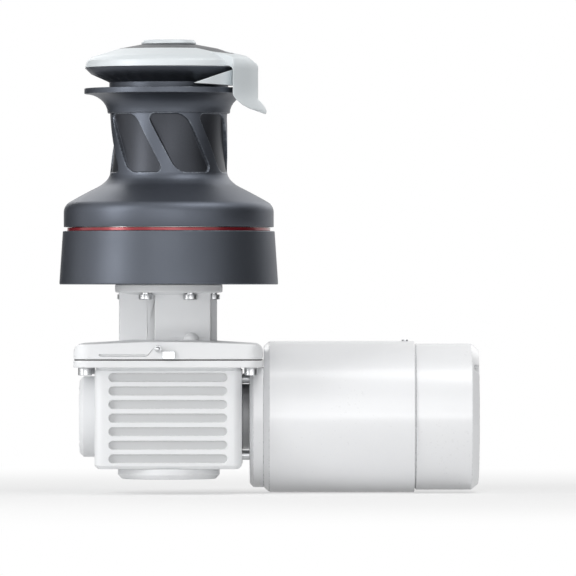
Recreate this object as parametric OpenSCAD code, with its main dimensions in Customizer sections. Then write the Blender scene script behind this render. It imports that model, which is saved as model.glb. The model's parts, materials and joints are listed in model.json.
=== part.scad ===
// Electric self-tailing winch: a drum unit above the deck, and a worm gearbox
// with its motor below it. The origin lies on the winch axis at the deck plane.

/* [Base] */
// Radius of the base at the deck
base_r = 98.4; // [96:0.1:104]
// Radius of the base at its upper rim
base_top_r = 95.3; // [93:0.1:96]
// Height of the base
base_h = 48.1; // [47:0.1:54]
// Inner radius of the base wall
base_inner_r = 89.5; // [89:0.1:91]
// Thickness of the base floor
floor_t = 9; // [8:0.5:11]
// Radius of the circle of deck bolts
deck_bolt_circle_r = 80; // [76:0.5:82]
// Diameter of a deck bolt hole
deck_hole_d = 8.5; // [6.5:0.1:10.5]
// Number of deck bolt holes
deck_bolt_count = 6; // [3:1:8]
// Height of the trim ring between base and drum
trim_h = 3; // [2:0.1:4]
// Outer radius of the trim ring
trim_r = 91.4; // [90.5:0.1:92.5]

/* [Drum] */
// Radius of the gripping barrel
barrel_r = 52.7; // [51:0.1:56]
// Height of the gripping barrel
barrel_h = 56; // [50:0.5:70]
// Radius of the drum skirt
skirt_r = 94.5; // [93:0.1:96]
// Height of the straight part of the drum skirt
skirt_h = 13.2; // [12:0.1:18]
// Height of the flare between skirt and barrel
flare_h = 36.2; // [34:0.1:44]
// Number of grip panels round the barrel
panel_count = 7; // [5:1:9]
// Share of the pitch that a grip panel takes
panel_share = 0.768; // [0.6:0.01:0.85]
// Turn of a grip panel in degrees for each millimetre of height
panel_slant = 0.58; // [0:0.01:0.9]
// Greatest depth of a grip panel
panel_depth = 3.5; // [1:0.1:4.5]
// Height of the hub above the barrel that carries the jaws
hub_h = 26; // [24:0.5:32]
// Outer radius of that hub
hub_r = 45; // [44:0.1:46]

/* [Jaws and arm] */
// Radius of the two jaws
jaw_r = 76; // [72:0.1:77]
// Radius of the rope groove's floor
groove_r = 53.5; // [50:0.1:55]
// Height of the lower jaw's rim
jaw_rim_h = 5; // [3:0.1:7]
// Width of the rope groove at its floor
groove_w = 5.4; // [4.6:0.1:8]
// Travel of the sprung lower jaw
jaw_travel = 3; // [1:0.1:4]
// Thickness of a screwed jaw web
web_t = 6; // [5:0.1:7]
// Inner radius of the arm, outside the jaws
arm_inner_r = 78; // [77.5:0.1:80]
// Height of the dome that closes the top
dome_h = 21.2; // [19:0.1:26]
// Radius of the spindle cap
cap_r = 24.6; // [20:0.1:27]
// Height of the spindle cap
cap_h = 3.8; // [3:0.1:6]

/* [Gears] */
// Module of all gears
gear_module = 2; // [2:0.05:2.1]
// Teeth of the drive pinion
drive_teeth = 24; // [24:1:24]
// Teeth of the idler gear
idler_teeth = 30; // [30:1:30]
// Teeth of the idler pinion
pinion_teeth = 24; // [24:1:24]
// Teeth of the worm wheel
wheel_teeth = 32; // [32:1:34]
// Face width of a spur gear
gear_w = 12; // [9:0.5:12]
// Pitch radius of the worm
worm_r = 12; // [11:0.1:13]
// Free play at the pitch circle between two teeth
backlash = 0.3; // [0.2:0.05:0.5]

/* [Shafts and fits] */
// Radius of the stem tube that carries the drum
stem_r = 28; // [27:0.1:29]
// Radius of the spindle
spindle_r = 16; // [15:0.1:17]
// Distance across the flats of the handle socket
socket_af = 17.46; // [16:0.01:18]
// Depth of the handle socket
socket_depth = 45; // [30:1:60]
// Radius of the output shaft
shaft_r = 8; // [7:0.1:9]
// Radius of a bearing roller
roller_r = 4; // [3:0.1:4.5]
// Length of a bearing roller
roller_len = 14; // [10:0.5:16]
// Radial play of a running fit
fit = 0.05; // [0.02:0.01:0.1]
// Gap between faces that pass each other
gap = 0.5; // [0.3:0.05:0.8]

/* [Pedestal and gearbox] */
// Radius of the collar under the deck
collar_r = 48.4; // [47:0.1:52]
// Depth of the neck from deck to gearbox lid
neck_depth = 50; // [40:1:90]
// Half width of the neck
neck_r = 44.3; // [44:0.1:46]
// Radius of the circle of neck bolts
neck_bolt_r = 39.7; // [38:0.1:40.5]
// Half width of the gearbox lid
lid_half_w = 84.4; // [82:0.1:85]
// Thickness of the gearbox lid at the neck
lid_t = 17; // [15:0.1:22]
// Half width of the gearbox body
box_half_w = 65.9; // [64:0.1:67]
// Height of the gearbox body
box_h = 91; // [88:0.5:100]
// Wall of the gearbox body
box_wall = 9; // [8:0.1:11]
// Number of cooling slots in the front
slot_count = 7; // [4:1:7]
// Height of a cooling slot
slot_h = 7.8; // [4:0.1:9]
// Depth of a cooling slot
slot_depth = 4; // [2:0.1:6]

/* [Motor] */
// Radius of the motor can
can_r = 68.4; // [66:0.1:69]
// Length of the motor can
can_len = 131.3; // [120:0.5:160]
// Wall of the motor can
can_wall = 4; // [3:0.1:5]
// Radius of the motor's rear cover
rear_r = 66.2; // [65:0.1:67]
// Length of the motor's rear cover
rear_len = 58; // [54:0.5:70]
// Thickness of the motor flange
flange_t = 12.6; // [11:0.1:15]

/* [Hidden] */
$fn = 96;

// Colours
DARK = "#3d444e";
SILVER = "#c9d2d6";
PALE = "#e3e6e8";
RED = "#b8343c";
STEEL = "#9aa0a6";
BRONZE = "#b08d57";
BLACK = "#2a2c2f";
COPPER = "#b0693c";

// Screws: shank radius, head radius, head height
M8 = [4, 6.5, 8];
M8_LOW = [4, 6.5, 4.6];
M5 = [2.5, 4.25, 5];
M4 = [2, 3.5, 4];

// Play round a sunk screw head
head_play = 0.3;

// Heights of the gear space
boss_h = 2.5;
boss_z = floor_t + boss_h;
boss_r = 46;
gear_gap = 4;
gear1_z = boss_z + 1.5;
gear2_z = gear1_z + gear_w + gear_gap;
plate_z = gear2_z + gear_w + 5;
plate_t = 7;
plate_r = 68;
post_r = 8;
post_circle_r = 60;
post_angles = [20, 160, 230, 310];

// Gear sizes
ring_teeth = drive_teeth + idler_teeth + pinion_teeth;
drive_r = gear_module * drive_teeth / 2;
idler_r = gear_module * idler_teeth / 2;
tooth_space_r = gear_module * (ring_teeth / 2 + 1.25);
idler_y = drive_r + idler_r;
idler_pin_r = 6;
sleeve_t = 6;
ring_lip_t = 4;
pressure_angle = 20;

// Rims that stay outside the gear space
ring_play = 1.5;
ring_outer_r = base_inner_r - ring_play;
ring_lip_r = ring_outer_r - 15;
ring_screw_r = (ring_lip_r + ring_outer_r - sleeve_t) / 2;
rim_r = max(base_top_r, base_inner_r + 5.8);
foot_r = max(base_r, rim_r + 3.1);
trim_w = 1.9;
trim_out_r = max(trim_r, base_inner_r + trim_w);
skirt_out_r = max(skirt_r, trim_out_r + 3.1);

// Heights of the drum
trim_z = base_h;
drum_z = trim_z + trim_h + gap;
register_h = 10.4;
seat_z = drum_z + register_h;
skirt_top_z = drum_z + skirt_h;
barrel_z = skirt_top_z + flare_h;
drum_top_z = barrel_z + barrel_h;
hub_top_z = drum_top_z + hub_h;
panel_z0 = barrel_z - 1;
panel_z1 = drum_top_z - 3.5;
panel_mid_z = (panel_z0 + panel_z1) / 2;
panel_phase = -76.9;
hub_bore_r = stem_r + 6;
hub_out_r = min(hub_r, barrel_r - 7.7);
jaw_screw_r = (hub_out_r + hub_bore_r) / 2;

// Roller bearings between stem and drum
roller_circle_r = stem_r + roller_r + fit;
race_r = roller_circle_r + roller_r + fit;
roller_count = 12;
cage_rim = 1;
cage_len = roller_len + 2 * cage_rim;
lower_cage_z = barrel_z - 5;
upper_cage_z = drum_top_z - 3 - cage_len;
shoulder_r = stem_r + 6;
shoulder_z = lower_cage_z - 0.3;

// Jaws, which stay inside the arm
jaw_out_r = min(jaw_r, arm_inner_r - 2);
web_z = drum_top_z + jaw_travel + 4;
lower_jaw_top_z = web_z + 12.4;
jaw_edge_z = drum_top_z - 3.1;
jaw_step_r = groove_r + gap;
groove_top_z = lower_jaw_top_z + groove_w;
jaw_skirt_r = barrel_r + gap;
upper_jaw_top_z = groove_top_z + 12.8;
upper_web_z = hub_top_z + 5.5;
upper_knee = [jaw_out_r - 6.2, groove_top_z + 7.3];
key_count = 3;
key_w = 8;
key_h = 2.5;
rib_count = 24;
rib_w = 2;
rib_depth = 0.8;

// Dome, arm and cover
dome_z = upper_jaw_top_z + 0.4;
dome_edge_r = jaw_out_r - 0.8;
dome_top_z = dome_z + dome_h;
stem_top_z = dome_z + 3;
arm_web_t = 6;
arm_bore_r = 20.4;
cover_t = 2.5;
cover_r = 44.9;
cover_knee_r = dome_edge_r - 19.2;
cover_far_r = dome_edge_r - 3.2;
dome_knee_1 = [cover_r, dome_top_z - 4.1];
dome_knee_2 = [dome_edge_r - 6.3, dome_top_z - 11.4];
dome_knee_3 = [dome_edge_r - 1.6, dome_top_z - 15.2];
arm_az = -34;
arm_screw_r = (spindle_r + stem_r) / 2 + 2;
arm_screw_count = 4;

// Spindle
spindle_z = boss_z + 0.5;
bush_r = 20;
bush_len = 24;
collar_h = 3.5;
upper_bush_z = stem_top_z - 9 - bush_len;
clutch_r = 11;
clutch_top_z = 60;
spindle_top_z = dome_top_z;

// Pedestal and lid
collar_t = 7;
collar_drop = 1.9;
lid_z = -neck_depth;
lid_slope = 2.7 / 40;
lid_bottom_z = lid_z - lid_t;
lid_y0 = -60;
lid_y1 = 102;
lid_out_w = max(lid_half_w, box_half_w + 18.5);
lid_corner_r = 14;
gasket_t = 1;
neck_bore_r = 28;
neck_head_z = -collar_t - collar_drop;
neck_front_y = -27;
neck_left_y = -14;
buttress_x0 = -12.3;
buttress_x1 = 37.9;
main_bearing_r = 26;
main_bearing_w = 12;
seal_r = 16;
seal_w = 7;

// Gearbox
box_top_z = lid_bottom_z - gasket_t;
box_flange_t = 6.3;
box_bottom_z = box_top_z - box_flange_t - box_h;
box_chamfer = 3;
box_y0 = -46;
box_y1 = 88;
worm_y = gear_module * wheel_teeth / 2 + worm_r;
worm_z = box_top_z - 51.5;
wheel_w = 16;
hub_shaft_r = shaft_r + 2;
slot_pitch = 12.15;
slot_half_len = box_half_w - 12.9;
box_bolt_x = lid_out_w - 10.1;
box_bolt_places = [
    [-box_bolt_x, lid_y0 + 22], [box_bolt_x, lid_y0 + 22], [-box_bolt_x, lid_y1 - 22],
    [-45, lid_y1 - 7], [45, lid_y1 - 7]
];
cap_seat_r = 45.8;
bottom_cap_t = 9.4;
worm_bearing_r = 22;
worm_bearing_w = 11;
end_cover_r = 36.5;
end_cover_t = 15.3;
cover_edge = 3.6;
end_screw_seat = 6;
end_screw_r = 29;

// Motor, measured along its axis from the gearbox wall, clear of the lid's edge
standoff_len = max(6.8, lid_out_w + 0.9 - box_half_w - flange_t);
standoff_r = 29.7;
flange_x = box_half_w + standoff_len;
flange_r = can_r - 4.4;
flange_edge = 3.4;
flange_screw_r = 34.6 * sqrt(2);
flange_seat_x = standoff_len + flange_t - M8[2] - 0.4;
bell_x = flange_x + flange_t;
bell_len = 5;
spigot_len = 8;
can_x = bell_x + bell_len;
can_end_x = can_x + can_len;
rear_end_x = can_end_x + rear_len;
can_inner_r = can_r - can_wall;
magnet_t = 7;
glue_t = 0.1;
magnet_r = can_inner_r - magnet_t - glue_t;
core_r = magnet_r - 1;
core_len = 70;
core_x = can_x + 25;
core_slots = 18;
commutator_r = 24;
commutator_len = 20;
commutator_x = can_end_x - 17;
commutator_bars = 24;
motor_bearing_r = 20;
motor_bearing_w = 11;
rear_wall_t = 7;
rear_pocket_r = min(can_inner_r, rear_r - 1.8) - 4;
tie_circle_r = rear_r - 6.2;
brush_plate_x = commutator_x + commutator_len + 1;
brush_plate_t = 4;
terminal_x = can_end_x + 28;
terminal_gap_z = 44;
terminal_r = 10;
terminal_neck_r = 6.5;
terminal_seat = sqrt(pow(rear_r, 2) - pow(terminal_gap_z / 2 - terminal_r, 2));
brush_w = 9;
brush_len = 18;
brush_h = 12;

// Helper shapes

// Involute function of a pressure angle, in degrees
function involute(a) = tan(a) * 180 / PI - a;

// Half angle of a tooth at radius r, for n teeth and the given extra play
function half_tooth(n, r, play) =
    let (
        rp = gear_module * n / 2,
        rb = rp * cos(pressure_angle),
        a = r > rb ? acos(rb / r) : 0
    )
    90 / n + involute(pressure_angle) - involute(a) + play / 2 / rp * 180 / PI;

// Outline of n teeth between two radii
function gear_outline(n, r_low, r_high, play, steps = 3) = [
    for (i = [0:n - 1])
        for (k = [-steps:steps])
            if (k != 0)
                let (
                    s = steps - abs(k),
                    r = r_low + (r_high - r_low) * s / (steps - 1),
                    a = i * 360 / n + sign(k) * half_tooth(n, r, play)
                )
                r * [cos(a), sin(a)]
];

// Points of an arc
function arc(c, r, a0, a1, n = 6) = [
    for (i = [0:n]) c + r * [cos(a0 + (a1 - a0) * i / n), sin(a0 + (a1 - a0) * i / n)]
];

// Small round rod or bore
module rod(r, h) {
    cylinder(r = r, h = h, $fn = 48);
}

module ring(r_out, r_in, z, h) {
    translate([0, 0, z])
        difference() {
            cylinder(r = r_out, h = h);
            translate([0, 0, -1])
                cylinder(r = r_in, h = h + 2);
        }
}

// Spur gear with a bore
module spur_gear(n, z, w, bore) {
    translate([0, 0, z])
        linear_extrude(height = w)
            difference() {
                polygon(gear_outline(n, gear_module * (n / 2 - 1.25), gear_module * (n / 2 + 1),
                    -backlash / 2));
                circle(r = bore);
            }
}

// Socket-head screw whose head seats at z = 0 and whose shank points down
module cap_screw(size, len) {
    difference() {
        union() {
            rod(size[1], size[2]);
            translate([0, 0, -len])
                rod(size[0], len + 1);
        }
        translate([0, 0, size[2] * 0.45])
            cylinder(r = size[0] * 0.85, h = size[2], $fn = 6);
    }
}

// Places its children at n even places round the axis
module around(n, r, phase = 0) {
    for (i = [0:n - 1])
        rotate([0, 0, phase + i * 360 / n])
            translate([r, 0, 0])
                children();
}

// Turns the local Z axis to +X and puts it on the worm and motor axis
module on_motor_axis(x = 0) {
    translate([x, worm_y, worm_z])
        rotate([0, 90, 0])
            children();
}

module rounded_plate(x0, x1, y0, y1, r, z, h) {
    translate([0, 0, z])
        linear_extrude(height = h)
            union() {
                translate([x0 + r, y0])
                    square([x1 - x0 - 2 * r, y1 - y0]);
                translate([x0, y0 + r])
                    square([x1 - x0, y1 - y0 - 2 * r]);
                for (x = [x0 + r, x1 - r])
                    for (y = [y0 + r, y1 - r])
                        translate([x, y])
                            circle(r = r);
            }
}

// Handle socket outline: two squares turned by half a right angle
module star_hole(z, h) {
    for (a = [0, 45])
        rotate([0, 0, a])
            translate([-socket_af / 2, -socket_af / 2, z])
                cube([socket_af, socket_af, h]);
}

// Base

module base_housing() {
    color(DARK)
        difference() {
            union() {
                rotate_extrude($fn = 180)
                    polygon([[0, 0], [foot_r, 0], [foot_r, 2], [rim_r, base_h],
                        [base_inner_r, base_h], [base_inner_r, floor_t + 3],
                        [base_inner_r - 3, floor_t], [boss_r, floor_t], [boss_r - 2, boss_z],
                        [0, boss_z]]);
                for (a = post_angles)
                    rotate([0, 0, a])
                        translate([post_circle_r, 0, 0])
                            rod(post_r, plate_z);
            }
            translate([0, 0, -1])
                cylinder(r = seal_r + 4, h = boss_z + 2);
            around(deck_bolt_count, deck_bolt_circle_r)
                translate([0, 0, -1])
                    cylinder(d = deck_hole_d, h = floor_t + 2, $fn = 48);
            around(6, neck_bolt_r)
                translate([0, 0, -1])
                    rod(M8[0], floor_t);
            for (a = post_angles)
                rotate([0, 0, a])
                    translate([post_circle_r, 0, plate_z - 14])
                        rod(M8[0], 20);
            translate([0, idler_y, floor_t - 5])
                cylinder(r = idler_pin_r, h = 20);
        }
}

module red_trim_ring() {
    color(RED)
        ring(trim_out_r, trim_out_r - trim_w, trim_z, trim_h, $fn = 180);
}

module idler_pin() {
    color(STEEL)
        translate([0, idler_y, floor_t - 5])
            cylinder(r = idler_pin_r, h = plate_z + plate_t - floor_t + 5);
}

// Stem: foot plate on the posts, tube through the drum

module center_stem() {
    color(BRONZE)
        difference() {
            rotate_extrude()
                polygon([[bush_r, plate_z], [plate_r, plate_z], [plate_r, plate_z + plate_t],
                    [shoulder_r + 10, plate_z + plate_t], [shoulder_r, plate_z + plate_t + 12],
                    [shoulder_r, shoulder_z], [stem_r, shoulder_z], [stem_r, stem_top_z],
                    [bush_r, stem_top_z]]);
            for (a = post_angles)
                rotate([0, 0, a])
                    translate([post_circle_r, 0, plate_z - 1])
                        rod(M8[0], plate_t + 2);
            translate([0, idler_y, plate_z - 1])
                cylinder(r = idler_pin_r, h = plate_t + 2);
            around(arm_screw_count, arm_screw_r, 45)
                translate([0, 0, stem_top_z - 12])
                    rod(M4[0], 20);
        }
}

module stem_screws() {
    color(STEEL)
        for (a = post_angles)
            rotate([0, 0, a])
                translate([post_circle_r, 0, plate_z + plate_t])
                    cap_screw(M8, plate_t + 13);
}

module spindle_bushes() {
    color(BRONZE)
        for (z = [plate_z, upper_bush_z])
            ring(bush_r, spindle_r + fit, z, bush_len);
}

module bearing_spacer() {
    color(STEEL)
        ring(stem_r + 3, stem_r, lower_cage_z + cage_len + 0.3,
            upper_cage_z - lower_cage_z - cage_len - 0.6);
}

module roller_bearing(z) {
    color(STEEL)
        around(roller_count, roller_circle_r)
            translate([0, 0, z + cage_rim])
                rod(roller_r, roller_len);
    color(BRONZE)
        difference() {
            ring(roller_circle_r + 1.5, roller_circle_r - 1.5, z, cage_len);
            around(roller_count, roller_circle_r)
                translate([0, 0, z + cage_rim])
                    rod(roller_r + 0.1, roller_len);
        }
}

module lower_roller_bearing() {
    roller_bearing(lower_cage_z);
}

module upper_roller_bearing() {
    roller_bearing(upper_cage_z);
}

// Drum

// Radial prism of one grip panel: an outline in angle and height, with round corners
panel_half = 360 / panel_count * panel_share / 2;
panel_round = 8.5;
deg_per_mm = 180 / PI / barrel_r;
panel_corners = [
    [panel_half - panel_round * deg_per_mm, panel_z1 - panel_round, 0],
    [-panel_half + panel_round * deg_per_mm, panel_z1 - panel_round, 90],
    [-panel_half + panel_round * deg_per_mm, panel_z0 + panel_round, 180],
    [panel_half - panel_round * deg_per_mm, panel_z0 + panel_round, 270]
];
panel_outline = [
    for (c = panel_corners)
        for (i = [0:5])
            let (
                a = c[2] + i * 18,
                z = c[1] + panel_round * sin(a),
                t = c[0] + panel_round * deg_per_mm * cos(a)
            )
            [t + (panel_mid_z - z) * panel_slant, z]
];

// The same outline with its long sides divided, so that they follow the barrel
function divided(p, n) = [
    for (i = [0:len(p) - 1])
        let (q = p[(i + 1) % len(p)], m = abs(q[1] - p[i][1]) > 12 ? n : 1)
        for (k = [0:m - 1]) p[i] + (q - p[i]) * k / m
];

// One panel, cut straight inwards through the barrel's surface
module panel_prism(x_in, x_out) {
    translate([x_in, 0, 0])
        rotate([90, 0, 90])
            linear_extrude(height = x_out - x_in)
                polygon([for (p = divided(panel_outline, 6)) [barrel_r * sin(p[0]), p[1]]]);
}

// Body of revolution with the waist that the panel floors follow
module panel_waist() {
    waist_h = panel_z1 - panel_z0 + 6;
    waist_r = (waist_h * waist_h / 4 + panel_depth * panel_depth) / 2 / panel_depth;
    rotate_extrude()
        difference() {
            translate([0, panel_mid_z - waist_h / 2])
                square([barrel_r, waist_h]);
            translate([barrel_r - panel_depth + waist_r, panel_mid_z])
                circle(r = waist_r);
        }
}

// Rounding of the skirt's edge, and the curve where the flare runs into the barrel
skirt_round = 11;
flare_foot_w = 9.3;
flare_foot_h = 12.2;

drum_profile = concat(
    [
        [ring_outer_r, drum_z], [skirt_out_r, drum_z], [skirt_out_r, skirt_top_z]
    ],
    arc([skirt_out_r - skirt_round, skirt_top_z], skirt_round, 12, 62),
    [
        [skirt_out_r - 14, skirt_top_z + 14.3], [barrel_r + flare_foot_w, barrel_z - flare_foot_h]
    ],
    [
        for (i = [1:4])
            let (s = i / 4)
            [barrel_r + flare_foot_w * pow(1 - s, 2), barrel_z - flare_foot_h * (1 - s)]
    ],
    [
        [barrel_r, drum_top_z], [hub_out_r, drum_top_z], [hub_out_r, hub_top_z],
        [hub_bore_r, hub_top_z], [hub_bore_r, drum_top_z + 1], [race_r, drum_top_z + 1],
        [race_r, upper_cage_z - 3], [race_r + 5, upper_cage_z - 5],
        [race_r + 5, lower_cage_z + cage_len + 5], [race_r, lower_cage_z + cage_len + 3],
        [race_r, lower_cage_z - 1], [race_r + 10, lower_cage_z - 3],
        [race_r + 14, lower_cage_z - 9], [race_r + 24, lower_cage_z - 15.5],
        [ring_lip_r - 2, seat_z + 10], [ring_lip_r, seat_z], [ring_outer_r, seat_z]
    ]
);

module drum_shell() {
    color(DARK)
        difference() {
            union() {
                rotate_extrude($fn = 180)
                    polygon(drum_profile);
                around(key_count, hub_out_r - 1)
                    translate([0, -key_w / 2, drum_top_z])
                        cube([key_h + 1, key_w, hub_h]);
            }
            difference() {
                for (i = [0:panel_count - 1])
                    rotate([0, 0, panel_phase + i * 360 / panel_count])
                        panel_prism(barrel_r * 0.6, barrel_r + 6);
                panel_waist();
            }
            around(6, ring_screw_r)
                translate([0, 0, seat_z - 1])
                    rod(M5[0], 8);
            around(6, jaw_screw_r, 30)
                translate([0, 0, hub_top_z - 12])
                    rod(M5[0], 20);
        }
}

module drum_ring_gear() {
    color(STEEL)
        difference() {
            union() {
                translate([0, 0, gear2_z - 0.5])
                    linear_extrude(height = gear_w + 1)
                        difference() {
                            circle(r = ring_outer_r, $fn = 180);
                            rotate([0, 0, 90])
                                polygon(gear_outline(ring_teeth, gear_module * (ring_teeth / 2 - 1),
                                    tooth_space_r, backlash / 2));
                        }
                ring(ring_outer_r, ring_outer_r - sleeve_t, gear2_z + gear_w + 0.5,
                    seat_z - gear2_z - gear_w - 0.5, $fn = 180);
                ring(ring_outer_r, ring_lip_r, seat_z - ring_lip_t, ring_lip_t, $fn = 180);
            }
            around(6, ring_screw_r)
                translate([0, 0, seat_z - ring_lip_t - 1])
                    rod(M5[0], ring_lip_t + 2);
        }
}

module ring_gear_screws() {
    color(STEEL)
        around(6, ring_screw_r)
            translate([0, 0, seat_z - ring_lip_t])
                mirror([0, 0, 1])
                    cap_screw([M5[0], 4.2, 4], ring_lip_t + 6);
}

// Jaws

module lower_jaw() {
    color(DARK)
        difference() {
            rotate_extrude($fn = 180)
                polygon(concat(
                    [[jaw_skirt_r, jaw_edge_z], [barrel_r + 2.3, jaw_edge_z]],
                    [
                        for (i = [1:7])
                            let (a = 90 * i / 8)
                            [jaw_out_r - (jaw_out_r - barrel_r - 2.3) * cos(a),
                                jaw_edge_z + (lower_jaw_top_z - jaw_rim_h - jaw_edge_z) * sin(a)]
                    ],
                    [[jaw_out_r, lower_jaw_top_z - jaw_rim_h], [jaw_out_r, lower_jaw_top_z],
                        [jaw_step_r, lower_jaw_top_z], [jaw_step_r, web_z + web_t],
                        [hub_out_r + fit, web_z + web_t], [hub_out_r + fit, web_z],
                        [jaw_skirt_r, web_z]]));
            around(key_count, hub_out_r)
                translate([-1, -key_w / 2 - 0.1, web_z - 1])
                    cube([key_h + 1.2, key_w + 0.2, web_t + 2]);
            around(rib_count, jaw_step_r + 3)
                translate([0, -rib_w / 2, lower_jaw_top_z - rib_depth])
                    cube([jaw_out_r - jaw_step_r - 6, rib_w, 2]);
        }
}

module upper_jaw() {
    color(DARK)
        difference() {
            rotate_extrude($fn = 180)
                polygon([[hub_bore_r, hub_top_z], [groove_r - 5.4, hub_top_z],
                    [groove_r - 5.4, web_z + web_t + 2], [groove_r, web_z + web_t + 2],
                    [groove_r, groove_top_z], upper_knee, [dome_edge_r, upper_jaw_top_z - 0.2],
                    [dome_edge_r - 0.2, upper_jaw_top_z], [dome_edge_r - 4.2, upper_jaw_top_z],
                    [groove_r + 4.5, upper_web_z], [hub_bore_r, upper_web_z]]);
            around(6, jaw_screw_r, 30)
                translate([0, 0, hub_top_z - 1])
                    rod(M5[0], 10);
        }
}

module jaw_screws() {
    color(STEEL)
        around(6, jaw_screw_r, 30)
            translate([0, 0, upper_web_z])
                cap_screw([M5[0], 4.2, 3.5], 16);
}

// Coil spring of round wire, as one swept ring of points
module coil_spring(r, wire, h, turns) {
    steps = 10;
    sides = 5;
    n = turns * steps;
    points = [
        for (i = [0:n])
            for (k = [0:sides - 1])
                let (
                    a = i * 360 / steps,
                    z = wire + (h - 2 * wire) * i / n,
                    b = k * 360 / sides
                )
                [(r + wire * cos(b)) * cos(a), (r + wire * cos(b)) * sin(a), z + wire * sin(b)]
    ];
    faces = concat(
        [[for (k = [0:sides - 1]) k]],
        [
            for (i = [0:n - 1])
                for (k = [0:sides - 1])
                    let (
                        a = i * sides + k,
                        b = i * sides + (k + 1) % sides
                    )
                    each [[a, a + sides, b + sides], [a, b + sides, b]]
        ],
        [[for (k = [0:sides - 1]) n * sides + sides - 1 - k]]
    );
    polyhedron(points = points, faces = faces, convexity = 10);
}

module jaw_springs() {
    spring_r = (jaw_skirt_r - hub_out_r) / 2 - 1;
    color(STEEL)
        around(6, (jaw_skirt_r + hub_out_r) / 2, 30)
            translate([0, 0, drum_top_z])
                coil_spring(spring_r, 0.55, web_z - drum_top_z, 4);
}

// Dome, arm, peeler and cover

// Upper surface shared by the dome and its cover
dome_line = [dome_knee_1, dome_knee_2, dome_knee_3, [dome_edge_r, dome_z + 0.2]];

module arm_plan() {
    polygon([[26, -26], [40, -50], [arm_x0, -56], [arm_x0, -arm_reach],
        [arm_inner_r + 20, -arm_reach], [arm_inner_r + 20, -30], [arm_inner_r - 12, -30],
        [50, -12], [34, -8]]);
}

// The arm's outline as seen from the front: its foot is measured from the arm's inner radius
arm_x0 = arm_inner_r - 19.9;
arm_x1 = arm_inner_r + 2.6;
arm_reach = arm_inner_r + 12;
arm_foot = [
    [2.6, -29], [4.9, -31.3], [8.8, -36], [10.6, -40.6], [9.1, -42.5], [-0.5, -39.1],
    [-5.1, -37.5], [-11.5, -34.3], [-16.8, -29.8], [-19, -27.3], [-19.9, -25], [-19.9, -3.5],
    [-20.9, -1], [-23.4, 0]
];
arm_outline = concat(
    [
        [20, dome_z], [20, dome_top_z + 4], [arm_inner_r - 17, dome_top_z - 9.2],
        [arm_inner_r - 8.2, dome_top_z - 11.4], [arm_x1, dome_top_z - 19.1]
    ],
    [for (p = arm_foot) [arm_inner_r + p[0], dome_z + p[1]]]
);
arm_profile = [
    [cover_knee_r, dome_top_z - 12], [arm_inner_r - 3, dome_z], [arm_inner_r, dome_z],
    [arm_inner_r, dome_z - 45], [arm_inner_r + 16, dome_z - 45],
    [arm_inner_r + 15, dome_z - 38], [arm_inner_r + 10.5, dome_z - 28],
    [arm_inner_r + 8.7, dome_z - 20], [arm_inner_r + 8.2, dome_z - 6],
    [arm_inner_r + 8, dome_z + 1], [arm_inner_r + 5.5, dome_z + 6],
    [arm_inner_r, dome_top_z - 11.6], [cover_far_r, dome_top_z - 10],
    [cover_knee_r, dome_top_z - 7.5]
];

module arm_body() {
    intersection() {
        rotate_extrude($fn = 180)
            polygon(arm_profile);
        translate([0, -20, 0])
            rotate([90, 0, 0])
                linear_extrude(height = arm_reach - 20)
                    polygon(arm_outline);
        translate([0, 0, dome_z - 50])
            linear_extrude(height = dome_h + 60)
                arm_plan();
    }
}

module stripper_arm() {
    color(SILVER)
        difference() {
            union() {
                rotate_extrude($fn = 180)
                    polygon(concat(
                        [[arm_bore_r, stem_top_z], [stem_r + 5, stem_top_z],
                            [stem_r + 5, stem_top_z + 9], [44, dome_top_z - 8.5],
                            [dome_edge_r - 10.2, dome_top_z - 15.5],
                            [dome_edge_r - 5.7, dome_top_z - 18.5],
                            [dome_edge_r - 4.7, dome_z], [dome_edge_r, dome_z]],
                        [for (i = [3:-1:0]) dome_line[i]],
                        [[stem_r + 1, dome_top_z - 2], [stem_r + 1, stem_top_z + arm_web_t],
                            [arm_bore_r, stem_top_z + arm_web_t]]));
                arm_body();
            }
            cover_solid(0);
            around(arm_screw_count, arm_screw_r, 45)
                translate([0, 0, stem_top_z - 1])
                    rod(M4[0], arm_web_t + 2);
        }
}

// Cover over the hub and the root of the arm, let into the dome
module cover_solid(bore) {
    intersection() {
        difference() {
            rotate_extrude($fn = 180)
                polygon([[bore, dome_top_z - 0.3 - cover_t], [cap_r + 0.3, dome_top_z - 0.3 - cover_t],
                    [cover_r, dome_top_z - 4.1 - cover_t], [cover_knee_r, dome_top_z - 7.5 - cover_t],
                    [cover_far_r, dome_top_z - 10 - cover_t], [cover_far_r, dome_top_z - 10],
                    [cover_knee_r, dome_top_z - 7.5], [cover_r, dome_top_z - 4.1],
                    [cap_r + 0.3, dome_top_z - 0.3], [bore, dome_top_z - 0.3]]);
            translate([0, 0, -1])
                cylinder(r = bore, h = 1);
        }
        linear_extrude(height = dome_top_z + 10)
            union() {
                circle(r = cover_r, $fn = 180);
                rotate([0, 0, arm_az])
                    polygon([[20, -20], [40, -18.5], [cover_far_r - 14, -10],
                        [cover_far_r - 6, -6], [cover_far_r - 2, -3], [cover_far_r - 1, 0],
                        [cover_far_r - 2, 3], [cover_far_r - 6, 6], [cover_far_r - 14, 10],
                        [40, 18.5], [20, 20]]);
            }
    }
}

module arm_cover() {
    color(BLACK)
        cover_solid(spindle_r + 0.4);
}

module arm_screws() {
    color(STEEL)
        around(arm_screw_count, arm_screw_r, 45)
            translate([0, 0, stem_top_z + arm_web_t])
                cap_screw([M4[0], 3.4, 3.4], arm_web_t + 11);
}

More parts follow.
